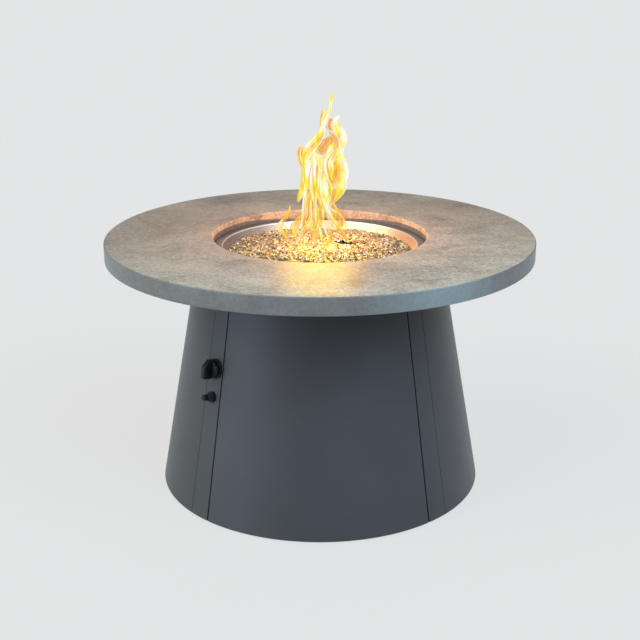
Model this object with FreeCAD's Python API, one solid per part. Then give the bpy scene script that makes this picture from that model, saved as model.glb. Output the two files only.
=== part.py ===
# Gas fire pit table: a round cast top on a cone-shaped sheet steel base, with a drop-in burner pan.
# Millimetres, +Z up. The origin is on the floor under the centre, and the front faces -Y.
# An azimuth is in degrees from the front, positive towards +X.
import FreeCAD, Part
import math
import os

# Overall form
overall_height = 644.0
top_radius = 533.5
top_edge_height = 43.0
floor_gap = 5.0
skirt_foot_radius = 412.5
skirt_head_radius = 305.0

# Clearances between neighbouring pieces
seat_gap = 0.3
screw_gap = 0.2
slip_gap = 0.3
drive_gap = 0.05
drill_gap = 1.0

# How far a cutting tool runs past what it cuts, and how far fused pieces run into each other
past = 1.0
bite = 5.0

# Cast top
slab_thickness = 24.0
rim_width = 28.0
rim_draft = 4.0
boss_radius = 326.0
rim_bevel = 2.0
rib_count = 8
rib_width = 16.0
rib_height = 12.0
hole_radius = 267.0
hole_edge_radius = 8.0
ledge_radius = 250.0
ledge_depth = 24.0
recess_gap = 1.0
recess_lip = 0.6

# Burner pan
pan_sheet = 1.5
pan_flange_radius = 265.0
pan_mouth_radius = 246.0
pan_floor_radius = 203.0
pan_depth = 51.0
pan_floor_bevel = 6.0
knee_share = 0.4
drain_count = 4
drain_radius = 4.0
drain_circle = 150.0

# Ring burner and its inlet
ring_radius = 66.0
ring_tube = 9.5
ring_wall = 1.2
ring_lift = 3.0
ring_shoulder = 5.0
port_count = 12
port_radius = 1.6
arm_tube = 6.5
hub_radius = 16.0
hub_height = 16.0
nipple_radius = 10.6
nipple_bore = 7.5
nipple_drop = 12.0
locknut_radius = 17.0
locknut_height = 5.0
elbow_radius = 13.5
elbow_height = 27.0
elbow_arm_length = 6.0
elbow_arm_wall = 1.5
mixer_radius = 12.0
mixer_bore = 9.5
mixer_length = 62.0
mixer_windows = 4
window_length = 22.0
window_width = 9.0
window_turn = 45.0
orifice_radius = 7.0
orifice_length = 16.0
orifice_cap = 4.0

# Glass bed
bed_edge_depth = 23.0
bed_crown = 6.0
bed_crown_radius = 110.0
crown_sides = 12
crown_margin = 4.0
heap_spacing = 56.0
heap_height = 4.5
heap_sides = 6
heap_foot_radius = 33.0
heap_top_radius = 11.0
heap_sunk = 2.0
heap_turn = 137.508

# Sheet metal skirt: four posts, three fixed panels and the lift-off access panel
post_azimuths = {"front_left": -45.0, "front_right": 45.0, "rear_right": 135.0, "rear_left": -135.0}
post_angle = 8.2
post_sheet = 1.5
post_lip = 40.0
post_return = 20.0
panel_azimuths = {"right_panel": 90.0, "rear_panel": 180.0, "left_panel": -90.0}
panel_sheet = 1.2
panel_lip = 22.0
panel_return = 18.0
panel_seam = 0.3
access_seam = 2.4
fold_bevel = 0.9
fold_share = 0.75
return_start = 10.0
return_stop = 9.0

# Rings, floor plate and tank collar
top_ring_thickness = 4.0
top_ring_width = 49.0
top_ring_margin = 1.0
base_ring_thickness = 4.0
base_ring_width = 60.5
base_ring_margin = 1.0
floor_plate_inset = 42.5
floor_plate_sheet = 1.5
vent_count = 8
vent_circle = 240.0
vent_length = 70.0
vent_width = 14.0
collar_radius = 118.0
collar_sheet = 2.0
collar_height = 32.0
collar_foot = 14.0

# Feet
glide_inset = 27.5
glide_radius = 14.0
stud_radius = 4.0
stud_length = 14.0
nut_radius = 6.5
nut_height = 6.5

# Fasteners of the top, panels and floor plate
top_bolt_inset = 20.0
top_bolt_radius = 4.0
top_bolt_head_radius = 6.5
top_bolt_head_height = 5.0
insert_radius = 6.0
insert_length = 14.0
insert_bite = 11.0

# Magnetic catches of the access panel
magnet_azimuth = 24.0
magnet_radius = 9.0
magnet_thickness = 6.0
magnet_gap = 0.5
catch_sheet = 2.0
catch_width = 24.0
catch_foot = 22.0
catch_reach = 13.0
upper_magnet_drop = 24.0
lower_magnet_rise = 22.0

# Controls on the front left post
control_azimuth = post_azimuths["front_left"]
valve_height = 375.0
igniter_height = 306.0

# Gas valve, measured from the skirt's skin
neck_radius = 8.0
neck_reach = 3.0
valve_front = 20.0
valve_width = 38.0
valve_tall = 46.0
valve_deep = 46.0
valve_bevel = 2.5
magnet_case_radius = 12.0
magnet_case_length = 16.0
screw_boss_radius = 4.2
screw_boss_rise = 15.0
screw_hole_depth = 16.0
screw_length = 14.0
valve_screw_radius = 1.9
valve_screw_head_radius = 3.4
valve_screw_head_height = 2.2
port_boss_height = 6.0
gas_boss_radius = 10.0
pilot_boss_radius = 5.0
port_depth = 23.0
pilot_port_side = 14.0
pilot_port_depth = 10.0
inlet_drop = 8.0
flare_radius = 7.94
flare_length = 14.0
flare_hex_radius = 10.5
flare_hex_length = 7.0
flare_bore = 4.0
union_radius = 8.5
union_length = 12.0
union_wall = 4.0
small_union_radius = 4.6
small_union_length = 10.0
small_union_wall = 3.0

# Knob, stem and plunger
knob_travel = 3.5
stem_radius = 4.0
stem_reach = 20.0
stem_length = 56.0
stem_flat = 3.0
stem_flat_start = 5.0
plunger_radius = 2.0
plunger_length = 22.0
bezel_radius = 24.2
bezel_height = 5.0
bezel_wall = 1.2
bezel_chamfer = 1.7
knob_gap = 1.0
skirt_disc_radius = 23.6
skirt_disc_top_radius = 21.8
skirt_disc_height = 9.0
skirt_disc_edge = 3.0
grip_half_height = 23.6
grip_top = 38.0
grip_chamfer_top = 25.0
grip_chamfer_height = 7.0
grip_width = 13.0
grip_bevel = 1.2

# Push-button igniter
button_travel = 5.0
igniter_radius = 13.2
igniter_length = 76.0
igniter_wall = 5.6
igniter_neck_radius = 9.2
igniter_neck_reach = 17.0
igniter_nut_radius = 13.2
igniter_nut_height = 8.0
igniter_nut_chamfer = 1.2
button_radius = 7.0
button_reach = 29.0
button_tail = 12.0
button_bevel = 2.0
battery_radius = 7.1
battery_length = 48.0
battery_nub_radius = 2.7
battery_nub_height = 1.5
terminal_radius = 2.2
terminal_length = 6.0

# Pilot assembly, on the far side of the burner from the controls
pilot_reach = 86.0
pilot_strip_sheet = 2.0
pilot_strip_width = 13.0
pilot_strip_ends = (-27.0, 30.0)
pilot_strip_height = 36.0
pilot_foot_depth = 16.0
pilot_line_rise = 14.0
hood_side = 22.5
hood_radius = 4.6
hood_height = 15.0
hood_rise = 5.0
hood_slot = 3.0
hood_cap = 1.5
probe_tip = 1.4
web_margin = 8.0
probe_side = -3.0
probe_radius = 2.8
probe_rise = 6.5
electrode_side = -20.0
insulator_radius = 3.4
insulator_rise = 2.5
electrode_radius = 1.1
electrode_rise = 7.0
pit_margin = 4.0

# Gas line and leads
gas_tube_radius = 5.0
gas_tube_bend = 55.0
pilot_tube_radius = 2.4
probe_lead_radius = 1.5
igniter_lead_radius = 1.8
lead_bend = 18.0
lead_level_drop = 21.0
lead_side = 22.5
lead_inward = 26.0
lead_clear = 32.0
igniter_lead_side = 32.0

# Levels that follow from the sizes above
underside = overall_height - top_edge_height
skirt_low = floor_gap
skirt_high = underside - seat_gap
skirt_slope = (skirt_foot_radius - skirt_head_radius) / (underside - skirt_low)
skirt_lean = math.atan(skirt_slope)
post_pitch = 360.0 / len(post_azimuths)
top_ring_bore = skirt_head_radius - top_ring_width
base_ring_bore = skirt_foot_radius - base_ring_width
floor_plate_radius = skirt_foot_radius - floor_plate_inset
glide_circle = skirt_foot_radius - glide_inset
top_bolt_circle = skirt_head_radius - top_bolt_inset
flange_top = overall_height - ledge_depth
pan_floor = flange_top - pan_depth
pan_slope = (pan_mouth_radius - pan_floor_radius) / pan_depth
pan_under = pan_floor - pan_sheet
top_ring_high = skirt_high - post_sheet
top_ring_low = top_ring_high - top_ring_thickness
base_ring_low = skirt_low + post_sheet
base_ring_high = base_ring_low + base_ring_thickness
floor_plate_high = base_ring_high + floor_plate_sheet
ring_axis = pan_floor + ring_lift + ring_tube
hub_low = pan_floor + locknut_height
elbow_level = pan_under - locknut_height - nipple_drop - elbow_height / 2
lead_level = pan_under - lead_level_drop
mixer_start = elbow_radius + elbow_arm_length
mixer_end = mixer_start + mixer_length
orifice_start = mixer_end - orifice_length / 2
pilot_strip_top = pan_floor + pilot_strip_height
pilot_line_end = pan_floor + pilot_line_rise

V = FreeCAD.Vector
UP = V(0, 0, 1)
ALONG = V(1, 0, 0)
ACROSS = V(0, 1, 0)


def skirt_radius(height):
    """Outer radius of the cone-shaped skirt at a height."""
    return skirt_foot_radius - (height - skirt_low) * skirt_slope


def pan_radius(height):
    """Inner radius of the pan's sloping wall at a height."""
    return pan_mouth_radius - (flange_top - height) * pan_slope


def turned(shape, azimuth):
    """Turn a shape drawn along +X to the azimuth."""
    return shape.rotated(V(0, 0, 0), UP, azimuth - 90)


def profile_face(points):
    """Face from (radius, height) points, in the plane through the axis along +X."""
    corners = [V(radius, 0, height) for radius, height in points]
    return Part.Face(Part.makePolygon(corners + corners[:1]))


def full_turn(points):
    return profile_face(points).revolve(V(0, 0, 0), UP, 360)


def sector(points, azimuth_from, azimuth_to):
    return turned(profile_face(points).revolve(V(0, 0, 0), UP, azimuth_to - azimuth_from), azimuth_from)


def radial_plate(points, azimuth, offset_from, offset_to):
    """Plate in the upright plane at an azimuth, between two sideways offsets."""
    face = profile_face(points).translated(V(0, offset_from, 0))
    return turned(face.extrude(V(0, offset_to - offset_from, 0)), azimuth)


def disc(radius, low, high, x=0.0, y=0.0):
    return Part.makeCylinder(radius, high - low, V(x, y, low), UP)


def tube(outer, bore, low, high, x=0.0, y=0.0):
    return disc(outer, low, high, x, y).cut(disc(bore, low - past, high + past, x, y))


def block(x_low, x_high, y_low, y_high, z_low, z_high):
    return Part.makeBox(x_high - x_low, y_high - y_low, z_high - z_low, V(x_low, y_low, z_low))


def around(circle, azimuth):
    """Point at a radius and azimuth, as x and y."""
    angle = math.radians(azimuth)
    return circle * math.sin(angle), -circle * math.cos(angle)


def outline(sides, radius, height, x=0.0, y=0.0, start=0.0):
    """Closed line with even sides, measured across its corners."""
    corners = []
    for azimuth in even(sides, start):
        corner_x, corner_y = around(radius, azimuth)
        corners.append(V(x + corner_x, y + corner_y, height))
    return Part.makePolygon(corners + corners[:1])


def flat_sided(foot, top):
    """Solid between two closed lines with as many corners, each side one flat face."""
    lower = [vertex.Point for vertex in foot.Vertexes]
    upper = [vertex.Point for vertex in top.Vertexes]
    faces = [Part.Face(foot), Part.Face(top)]
    for k in range(len(lower)):
        side = [lower[k - 1], lower[k], upper[k], upper[k - 1], lower[k - 1]]
        faces.append(Part.Face(Part.makePolygon(side)))
    return Part.Solid(Part.Shell(faces))


def hexagon(radius, low, high, x=0.0, y=0.0):
    """Six-sided prism, measured across its corners."""
    return Part.Face(outline(6, radius, low, x, y)).extrude(V(0, 0, high - low))


def quarter_round(radius, height, bend, steps=2):
    """Chords along the upper inner quarter of an arc about a (radius, height) centre."""
    points = []
    for step in range(steps + 1):
        angle = math.radians(180 - 90 * step / steps)
        points.append((radius + bend * math.cos(angle), height + bend * math.sin(angle)))
    return points


def even(count, start=0.0):
    return [start + 360.0 * step / count for step in range(count)]


def joined(first, others):
    return first.fuse(others).removeSplitter()


def on_skirt(azimuth, height):
    """Place on the skirt's skin: X level across it, Y up along it and Z straight out of it."""
    x, y = around(1.0, azimuth)
    level = V(x, y, 0)
    out = level * math.cos(skirt_lean) + UP * math.sin(skirt_lean)
    up = UP * math.cos(skirt_lean) - level * math.sin(skirt_lean)
    across = up.cross(out)
    origin = level * skirt_radius(height) + UP * height
    return FreeCAD.Placement(FreeCAD.Matrix(
        across.x, up.x, out.x, origin.x,
        across.y, up.y, out.y, origin.y,
        across.z, up.z, out.z, origin.z,
        0, 0, 0, 1))


valve_place = on_skirt(control_azimuth, valve_height)
igniter_place = on_skirt(control_azimuth, igniter_height)


def placed(shape, place):
    moved = shape.copy()
    moved.Placement = place.multiply(moved.Placement)
    return moved


def service(side, reach, height):
    """Point in the upright plane through the controls: sideways, outward from the axis, and up."""
    x, y = around(reach, control_azimuth)
    side_x, side_y = around(side, control_azimuth + 90)
    return V(x + side_x, y + side_y, height)


def bent_path(points, bend):
    """Straight runs joined by tangent arcs of one radius."""
    edges = []
    start = points[0]
    for before, corner, after in zip(points, points[1:], points[2:]):
        back = (before - corner).normalize()
        ahead = (after - corner).normalize()
        half = back.getAngle(ahead) / 2
        setback = bend / math.tan(half)
        middle = (back + ahead).normalize()
        depth = bend / math.sin(half) - bend
        entry = corner + back * setback
        leave = corner + ahead * setback
        edges.append(Part.makeLine(start, entry))
        edges.append(Part.Arc(entry, corner + middle * depth, leave).toShape())
        start = leave
    edges.append(Part.makeLine(start, points[-1]))
    return Part.Wire(edges)


def bent_tube(points, radius, bend, sides=8):
    """Tube of a few flat sides along the path."""
    path = bent_path(points, bend)
    ahead = (points[1] - points[0]).normalize()
    first = ahead.cross(V(0, 0, 1) if abs(ahead.z) < 0.9 else V(1, 0, 0)).normalize()
    second = ahead.cross(first)
    corners = []
    for angle in even(sides):
        turn = math.radians(angle)
        corners.append(points[0] + first * (radius * math.cos(turn)) + second * (radius * math.sin(turn)))
    section = Part.makePolygon(corners + corners[:1])
    solid = path.makePipeShell([section], True)
    area = Part.Face(section).Area
    print("tube volume over section times length", round(solid.Volume / (area * path.Length), 4))
    return solid


# Cast top

def make_table_top():
    """Slab with a deep rim, a flat boss over the skirt, ribs between them and a stepped hole for the pan."""
    ceiling = overall_height - slab_thickness
    rim_bore = top_radius - rim_width
    edge = hole_edge_radius
    recess_radius = pan_flange_radius + recess_gap
    recess_floor = flange_top - pan_sheet
    recess_top = flange_top + recess_lip
    hole_edge = quarter_round(hole_radius + edge, overall_height - edge, edge)
    body = full_turn([(recess_radius, recess_top), (hole_radius, recess_top)] + hole_edge + [
        (top_radius - rim_bevel, overall_height), (top_radius, overall_height - rim_bevel),
        (top_radius, underside + rim_bevel), (top_radius - rim_bevel, underside),
        (rim_bore, underside), (rim_bore - rim_draft, ceiling),
        (boss_radius + rim_draft, ceiling), (boss_radius, underside),
        (ledge_radius, underside), (ledge_radius, recess_floor), (recess_radius, recess_floor)])
    ribs = []
    for azimuth in even(rib_count, 180.0 / rib_count):
        rib = block(boss_radius, rim_bore, -rib_width / 2, rib_width / 2, ceiling - rib_height, ceiling)
        ribs.append(turned(rib, azimuth))
    pockets = []
    for x, y in top_bolt_points():
        pockets.append(disc(insert_radius, underside - past, underside + insert_length, x, y))
    return joined(body, ribs).cut(pockets)


def top_bolt_points():
    return [around(top_bolt_circle, azimuth) for azimuth in post_azimuths.values()]


def make_top_inserts():
    bore = top_bolt_radius + screw_gap
    high = underside + insert_length
    return [tube(insert_radius, bore, underside, high, x, y) for x, y in top_bolt_points()]


def make_top_bolts():
    bolts = []
    for x, y in top_bolt_points():
        head = hexagon(top_bolt_head_radius, top_ring_low - top_bolt_head_height, top_ring_low, x, y)
        shank = disc(top_bolt_radius, top_ring_low, underside + insert_bite, x, y)
        bolts.append(joined(head, [shank]))
    return bolts


# Burner pan

def make_burner_pan():
    """Spun dish with a flat flange, drilled for the inlet, the pilot lines and the drains."""
    shift = pan_sheet * math.sqrt(1 + pan_slope ** 2)
    knee = pan_floor_bevel

    def profile(drop, widen):
        """Centre to flange edge along one face of the sheet, lowered and widened by its thickness."""
        return [
            (0, pan_floor - drop), (pan_floor_radius - knee, pan_floor - drop),
            (pan_radius(pan_floor + knee) + widen, pan_floor + knee - drop * knee_share),
            (pan_radius(flange_top - drop) + widen, flange_top - drop),
            (pan_flange_radius, flange_top - drop)]

    dish = full_turn(profile(0, 0) + profile(pan_sheet, shift)[::-1])
    holes = [disc(nipple_radius + screw_gap, pan_under - past, pan_floor + past)]
    for azimuth in even(drain_count):
        x, y = around(drain_circle, azimuth)
        holes.append(disc(drain_radius, pan_under - past, pan_floor + past, x, y))
    for side, radius in pilot_lines():
        spot = service(side, -pilot_reach, 0)
        holes.append(disc(radius + drill_gap, pan_under - past, pan_floor + past, spot.x, spot.y))
    return dish.cut(holes)


def pilot_lines():
    """Sideways place and radius of each line that rises through the pan to the pilot assembly."""
    return (
        (hood_side, pilot_tube_radius), (probe_side, probe_lead_radius),
        (electrode_side, igniter_lead_radius))


# Ring burner

def make_burner_ring():
    """Hollow pressed ring with two cross arms and a threaded hub, drilled along its crown."""

    def ring(inset):
        half = ring_tube - inset
        low, high = ring_axis - half, ring_axis + half
        shoulder = ring_shoulder - inset * knee_share
        return full_turn([
            (ring_radius - half, low), (ring_radius + half, low), (ring_radius + half, ring_axis),
            (ring_radius + shoulder, high), (ring_radius - shoulder, high), (ring_radius - half, ring_axis)])

    outer = [ring(0)]
    inner = [ring(ring_wall)]
    arm_low = hub_low + ring_wall
    for solids, inset in ((outer, 0), (inner, ring_wall)):
        half, low, high = arm_tube - inset, arm_low + inset, arm_low + 2 * arm_tube - inset
        solids.append(block(-ring_radius, ring_radius, -half, half, low, high))
        solids.append(block(-half, half, -ring_radius, ring_radius, low, high))
    hub_high = hub_low + hub_height
    outer.append(disc(hub_radius, hub_low, hub_high))
    inner.append(disc(nipple_radius + screw_gap, hub_low - past, hub_high - 2 * ring_wall))
    shell = outer[0].fuse(outer[1:]).cut(inner)
    ports = []
    for azimuth in even(port_count, 180.0 / port_count):
        x, y = around(ring_radius, azimuth)
        ports.append(hexagon(port_radius, ring_axis, ring_axis + ring_tube + past, x, y))
    return shell.cut(ports)


def make_burner_nipple():
    return tube(nipple_radius, nipple_bore, elbow_level + elbow_height / 2, hub_low + hub_height / 2)


def make_burner_locknuts():
    """One nut under the hub and one under the pan clamp the nipple to the pan's floor."""
    bore = nipple_radius + screw_gap
    nuts = []
    for low, high in ((pan_floor, hub_low), (pan_under - locknut_height, pan_under)):
        nuts.append(hexagon(locknut_radius, low, high).cut(disc(bore, low - past, high + past)))
    return nuts


def along_service(shape):
    """Turn a shape drawn along +X to point from the axis to the controls."""
    return turned(shape, control_azimuth)


def make_inlet_elbow():
    """Brass elbow from the nipple to the air mixer."""
    low = elbow_level - elbow_height / 2
    high = elbow_level + elbow_height / 2
    middle = V(0, 0, elbow_level)
    body = disc(elbow_radius, low, high)
    arm = Part.makeCylinder(mixer_bore + elbow_arm_wall, mixer_start, middle, ALONG)
    way = disc(nipple_bore, elbow_level, high + past)
    side_way = Part.makeCylinder(nipple_bore, mixer_start + past, middle, ALONG)
    return along_service(joined(body, [arm]).cut([way, side_way]))


def make_air_mixer():
    """Tube with air windows round the orifice."""
    start = V(mixer_start, 0, elbow_level)
    body = Part.makeCylinder(mixer_radius, mixer_length, start, ALONG)
    body = body.cut(Part.makeCylinder(mixer_bore, mixer_length + 2 * past, start - ALONG * past, ALONG))
    slots = []
    centre = mixer_start + mixer_length / 2
    for angle in even(mixer_windows, window_turn):
        slot = block(centre - window_length / 2, centre + window_length / 2,
                     -window_width / 2, window_width / 2, elbow_level, elbow_level + mixer_radius + past)
        slots.append(slot.rotated(V(0, 0, elbow_level), ALONG, angle))
    return along_service(body.cut(slots))


def make_gas_orifice():
    """Brass orifice spud, with the cap that closes the mixer's end."""
    spud = Part.makeCylinder(orifice_radius, orifice_length, V(orifice_start, 0, elbow_level), ALONG)
    cap = Part.makeCylinder(mixer_radius, orifice_cap, V(mixer_end, 0, elbow_level), ALONG)
    return along_service(joined(spud, [cap]))


# Glass bed

def heap_spots(reach):
    """Distances and azimuths out to a reach: an even share of the area to each, heap_turn apart."""
    area = heap_spacing ** 2 * math.sin(math.radians(60))
    count = int(math.pi * reach ** 2 / area)
    return [(math.sqrt((k + 0.5) * area / math.pi), k * heap_turn) for k in range(count)]


def heap(distance, azimuth, level):
    """Heap of glass with sloping sides and a flat top, its foot sunk below the level of the bed there."""
    x, y = around(distance, azimuth)
    return flat_sided(
        outline(heap_sides, heap_foot_radius, level - heap_sunk, x, y, azimuth),
        outline(heap_sides, heap_top_radius, level + heap_height, x, y, azimuth))


def make_fire_glass():
    """Bed of glass in the pan, crowned and heaped, hollow over the burner and open at the pilot."""
    edge = flange_top - bed_edge_depth
    low = pan_floor + seat_gap
    knee = pan_floor_bevel + seat_gap
    edge_radius = pan_radius(edge) - 2 * seat_gap
    crown_foot = edge_radius - crown_margin
    bed = full_turn([
        (0, low), (pan_floor_radius - knee - seat_gap, low),
        (pan_radius(pan_floor + knee) - 2 * seat_gap, pan_floor + knee), (edge_radius, edge), (0, edge)])
    crown = flat_sided(
        outline(crown_sides, crown_foot, edge), outline(crown_sides, bed_crown_radius, edge + bed_crown))
    heaps = []
    for distance, azimuth in heap_spots(crown_foot - heap_foot_radius):
        share = (crown_foot - max(distance, bed_crown_radius)) / (crown_foot - bed_crown_radius)
        heaps.append(heap(distance, azimuth, edge + bed_crown * share))
    bed = joined(bed, [crown] + heaps)
    reach = ring_radius + ring_tube + 2 * slip_gap
    hollow = disc(reach, low - past, ring_axis + ring_tube + 2 * slip_gap)
    pit = block(
        -pilot_reach - pilot_foot_depth - pit_margin, -pilot_reach + pilot_strip_width / 2 + pit_margin / 2,
        pilot_strip_ends[0] - pit_margin, pilot_strip_ends[1] + pit_margin, low - past, overall_height)
    return bed.cut([hollow, along_service(pit)])


# Sheet metal skirt

def folded_sheet(azimuth_from, azimuth_to, sheet, lip, side_return):
    """Cone panel with lips folded in along its foot and head, and returns along both sides."""
    skin = sheet / math.cos(skirt_lean)
    low, high = skirt_low, skirt_high
    wall = sector([
        (skirt_radius(low), low), (skirt_radius(high), high),
        (skirt_radius(high) - lip, high), (skirt_radius(high) - lip, high - sheet),
        (skirt_radius(high - sheet) - skin, high - sheet), (skirt_radius(low + sheet) - skin, low + sheet),
        (skirt_radius(low) - lip, low + sheet), (skirt_radius(low) - lip, low)],
        azimuth_from, azimuth_to)
    side_low = base_ring_high + return_start
    side_high = top_ring_low - return_stop
    side = [
        (skirt_radius(side_low) - sheet / 2, side_low), (skirt_radius(side_high) - sheet / 2, side_high),
        (skirt_radius(side_high) - side_return, side_high), (skirt_radius(side_low) - side_return, side_low)]
    returns = [radial_plate(side, azimuth_from, 0, sheet), radial_plate(side, azimuth_to, -sheet, 0)]
    shape = joined(wall, returns)
    corners = []
    for edge in shape.Edges:
        first, last = edge.Vertexes[0].Point, edge.Vertexes[-1].Point
        on_skin = all(abs(math.hypot(p.x, p.y) - skirt_radius(p.z)) < 0.01 for p in (first, last))
        if on_skin and abs(last.z - first.z) > sheet:
            corners.append(edge)
    return shape.makeChamfer(min(fold_bevel, sheet * fold_share), corners)


def post_cutters():
    """Holes in the heads and feet of the posts."""
    holes = []
    for x, y in top_bolt_points():
        holes.append(disc(top_bolt_radius + screw_gap, top_ring_low - past, underside, x, y))
    for x, y in glide_points():
        holes.append(disc(stud_radius + screw_gap, 0, base_ring_high + past, x, y))
    return holes


def control_cutters():
    """Holes in the front left post for the valve's neck and screws, and for the igniter's neck."""
    deep = post_sheet + bite
    holes = [placed(disc(neck_radius + screw_gap, -deep, deep), valve_place)]
    for rise in (-screw_boss_rise, screw_boss_rise):
        holes.append(placed(disc(valve_screw_radius + screw_gap, -deep, deep, 0, rise), valve_place))
    holes.append(placed(disc(igniter_neck_radius + screw_gap, -deep, deep), igniter_place))
    return holes


def make_posts():
    posts = {}
    for corner, azimuth in post_azimuths.items():
        half = post_angle / 2
        shape = folded_sheet(azimuth - half, azimuth + half, post_sheet, post_lip, post_return)
        cutters = post_cutters()
        if corner == "front_left":
            cutters += control_cutters()
        posts["post_" + corner] = [shape.cut(cutters)]
    return posts


def panel_half_span(seam):
    """Half of the angle between two posts, less the seam."""
    return (post_pitch - post_angle) / 2 - math.degrees(seam / skirt_head_radius)


def make_panels():
    panels = {}
    half = panel_half_span(panel_seam)
    for name, azimuth in panel_azimuths.items():
        shape = folded_sheet(azimuth - half, azimuth + half, panel_sheet, panel_lip, panel_return)
        panels[name] = [shape]
    half = panel_half_span(access_seam)
    panels["access_panel"] = [folded_sheet(-half, half, panel_sheet, panel_lip, panel_return)]
    return panels


# Rings, floor plate and collar

def make_top_ring():
    outer = skirt_radius(top_ring_high) - post_sheet / math.cos(skirt_lean) - top_ring_margin
    ring = tube(outer, top_ring_bore, top_ring_low, top_ring_high)
    return ring.cut(post_cutters())


def make_base_ring():
    outer = skirt_radius(base_ring_high) - post_sheet / math.cos(skirt_lean) - base_ring_margin
    ring = tube(outer, base_ring_bore, base_ring_low, base_ring_high)
    return ring.cut(post_cutters())


def make_floor_plate():
    """Round plate with vent slots between the collar and the ring."""
    plate = disc(floor_plate_radius, base_ring_high, floor_plate_high)
    slots = []
    for azimuth in even(vent_count, 180.0 / vent_count):
        slot = block(vent_circle - vent_length / 2, vent_circle + vent_length / 2,
                     -vent_width / 2, vent_width / 2, base_ring_high - past, floor_plate_high + past)
        slots.append(turned(slot, azimuth))
    return plate.cut(slots)


def make_tank_collar():
    """Ring with a turned-out foot that keeps a gas cylinder's base in place."""
    low = floor_plate_high
    bore = collar_radius - collar_sheet
    return full_turn([
        (bore, low), (collar_radius + collar_foot, low),
        (collar_radius + collar_foot, low + collar_sheet), (collar_radius, low + collar_sheet),
        (collar_radius, low + collar_height), (bore, low + collar_height)])


# Feet

def glide_points():
    return [around(glide_circle, azimuth) for azimuth in post_azimuths.values()]


def make_glide_pads():
    return [disc(glide_radius, 0, skirt_low - seat_gap, x, y) for x, y in glide_points()]


def make_glide_studs():
    low = skirt_low - seat_gap
    return [disc(stud_radius, low, low + stud_length, x, y) for x, y in glide_points()]


def make_glide_nuts():
    nuts = []
    low, high = base_ring_high, base_ring_high + nut_height
    for x, y in glide_points():
        bore = disc(stud_radius + screw_gap, low - past, high + past, x, y)
        nuts.append(hexagon(nut_radius, low, high, x, y).cut(bore))
    return nuts


# Magnetic catches

def inner_skin(height, depth=0.0):
    """Radius of the access panel's inner face at a height, set back by a depth square to the face."""
    return skirt_radius(height) - (panel_sheet + depth) / math.cos(skirt_lean)


def catch_profile(magnet_level, ring_face, inward_step):
    """Strip parallel to the panel behind the magnet, folded in along the ring's face."""
    near = magnet_gap + magnet_thickness
    far = near + catch_sheet
    end = magnet_level - catch_reach if ring_face > magnet_level else magnet_level + catch_reach
    fold = ring_face - inward_step
    return [
        (inner_skin(end, near), end), (inner_skin(ring_face, near), ring_face),
        (inner_skin(ring_face, near) - catch_foot, ring_face),
        (inner_skin(ring_face, near) - catch_foot, fold),
        (inner_skin(fold, far), fold), (inner_skin(end, far), end)]


upper_magnet_level = top_ring_low - upper_magnet_drop
lower_magnet_level = base_ring_high + lower_magnet_rise


def make_catch_brackets():
    brackets = []
    half = catch_width / 2
    for azimuth in (-magnet_azimuth, magnet_azimuth):
        upper = catch_profile(upper_magnet_level, top_ring_low, catch_sheet)
        lower = catch_profile(lower_magnet_level, base_ring_high, -catch_sheet)
        brackets.append(radial_plate(upper, azimuth, -half, half))
        brackets.append(radial_plate(lower, azimuth, -half, half))
    return brackets


def make_catch_magnets():
    magnets = []
    face = -panel_sheet - magnet_gap
    for azimuth in (-magnet_azimuth, magnet_azimuth):
        for level in (upper_magnet_level, lower_magnet_level):
            magnet = disc(magnet_radius, face - magnet_thickness, face)
            magnets.append(placed(magnet, on_skirt(azimuth, level)))
    return magnets


# Gas valve, drawn with Z out of the skirt and Y up along it

valve_rear = -valve_front - valve_deep
valve_head = valve_tall / 2 + port_boss_height
port_level = -valve_front - port_depth
pilot_port_level = -valve_front - pilot_port_depth
probe_nut_front = valve_rear - magnet_case_length
probe_nut_rear = probe_nut_front - small_union_length
stem_tip = stem_reach - stem_length


def make_valve_body():
    """Die-cast body with its neck, screw bosses, ports, safety magnet's case and stem bores."""
    half_width, half_tall = valve_width / 2, valve_tall / 2
    gas_port = half_width + port_boss_height
    core = block(-half_width, half_width, -half_tall, half_tall, valve_rear, -valve_front)
    upright = [edge for edge in core.Edges if edge.BoundBox.ZLength > valve_deep / 2]
    core = core.makeChamfer(valve_bevel, upright)
    parts = [
        disc(neck_radius, -valve_front - bite, neck_reach),
        disc(magnet_case_radius, valve_rear - magnet_case_length, valve_rear + bite),
        Part.makeCylinder(gas_boss_radius, gas_port, V(0, -inlet_drop, port_level), -ALONG),
        Part.makeCylinder(gas_boss_radius, valve_head, V(0, 0, port_level), ACROSS),
        Part.makeCylinder(pilot_boss_radius, valve_head, V(pilot_port_side, 0, pilot_port_level), ACROSS)]
    for rise in (-screw_boss_rise, screw_boss_rise):
        parts.append(disc(screw_boss_radius, -valve_front - bite, -post_sheet - seat_gap, 0, rise))
    body = joined(core, parts)
    bores = [
        disc(stem_radius + slip_gap, stem_tip - knob_travel - past, neck_reach + past),
        disc(plunger_radius + slip_gap, stem_tip - plunger_length - knob_travel - past, stem_tip)]
    for rise in (-screw_boss_rise, screw_boss_rise):
        bores.append(disc(valve_screw_radius + screw_gap, -screw_hole_depth, 0, 0, rise))
    return placed(body.cut(bores), valve_place)


def make_valve_inlet():
    """Flare fitting for the supply hose, pointing away from the access panel."""
    start = V(-valve_width / 2 - port_boss_height, -inlet_drop, port_level)
    collar = Part.makeCylinder(flare_hex_radius, flare_hex_length, start, -ALONG)
    thread = Part.makeCylinder(flare_radius, flare_length, start - ALONG * flare_hex_length, -ALONG)
    way_length = flare_hex_length + flare_length + 2 * past
    way = Part.makeCylinder(flare_bore, way_length, start + ALONG * past, -ALONG)
    return placed(joined(collar, [thread]).cut(way), valve_place)


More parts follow.
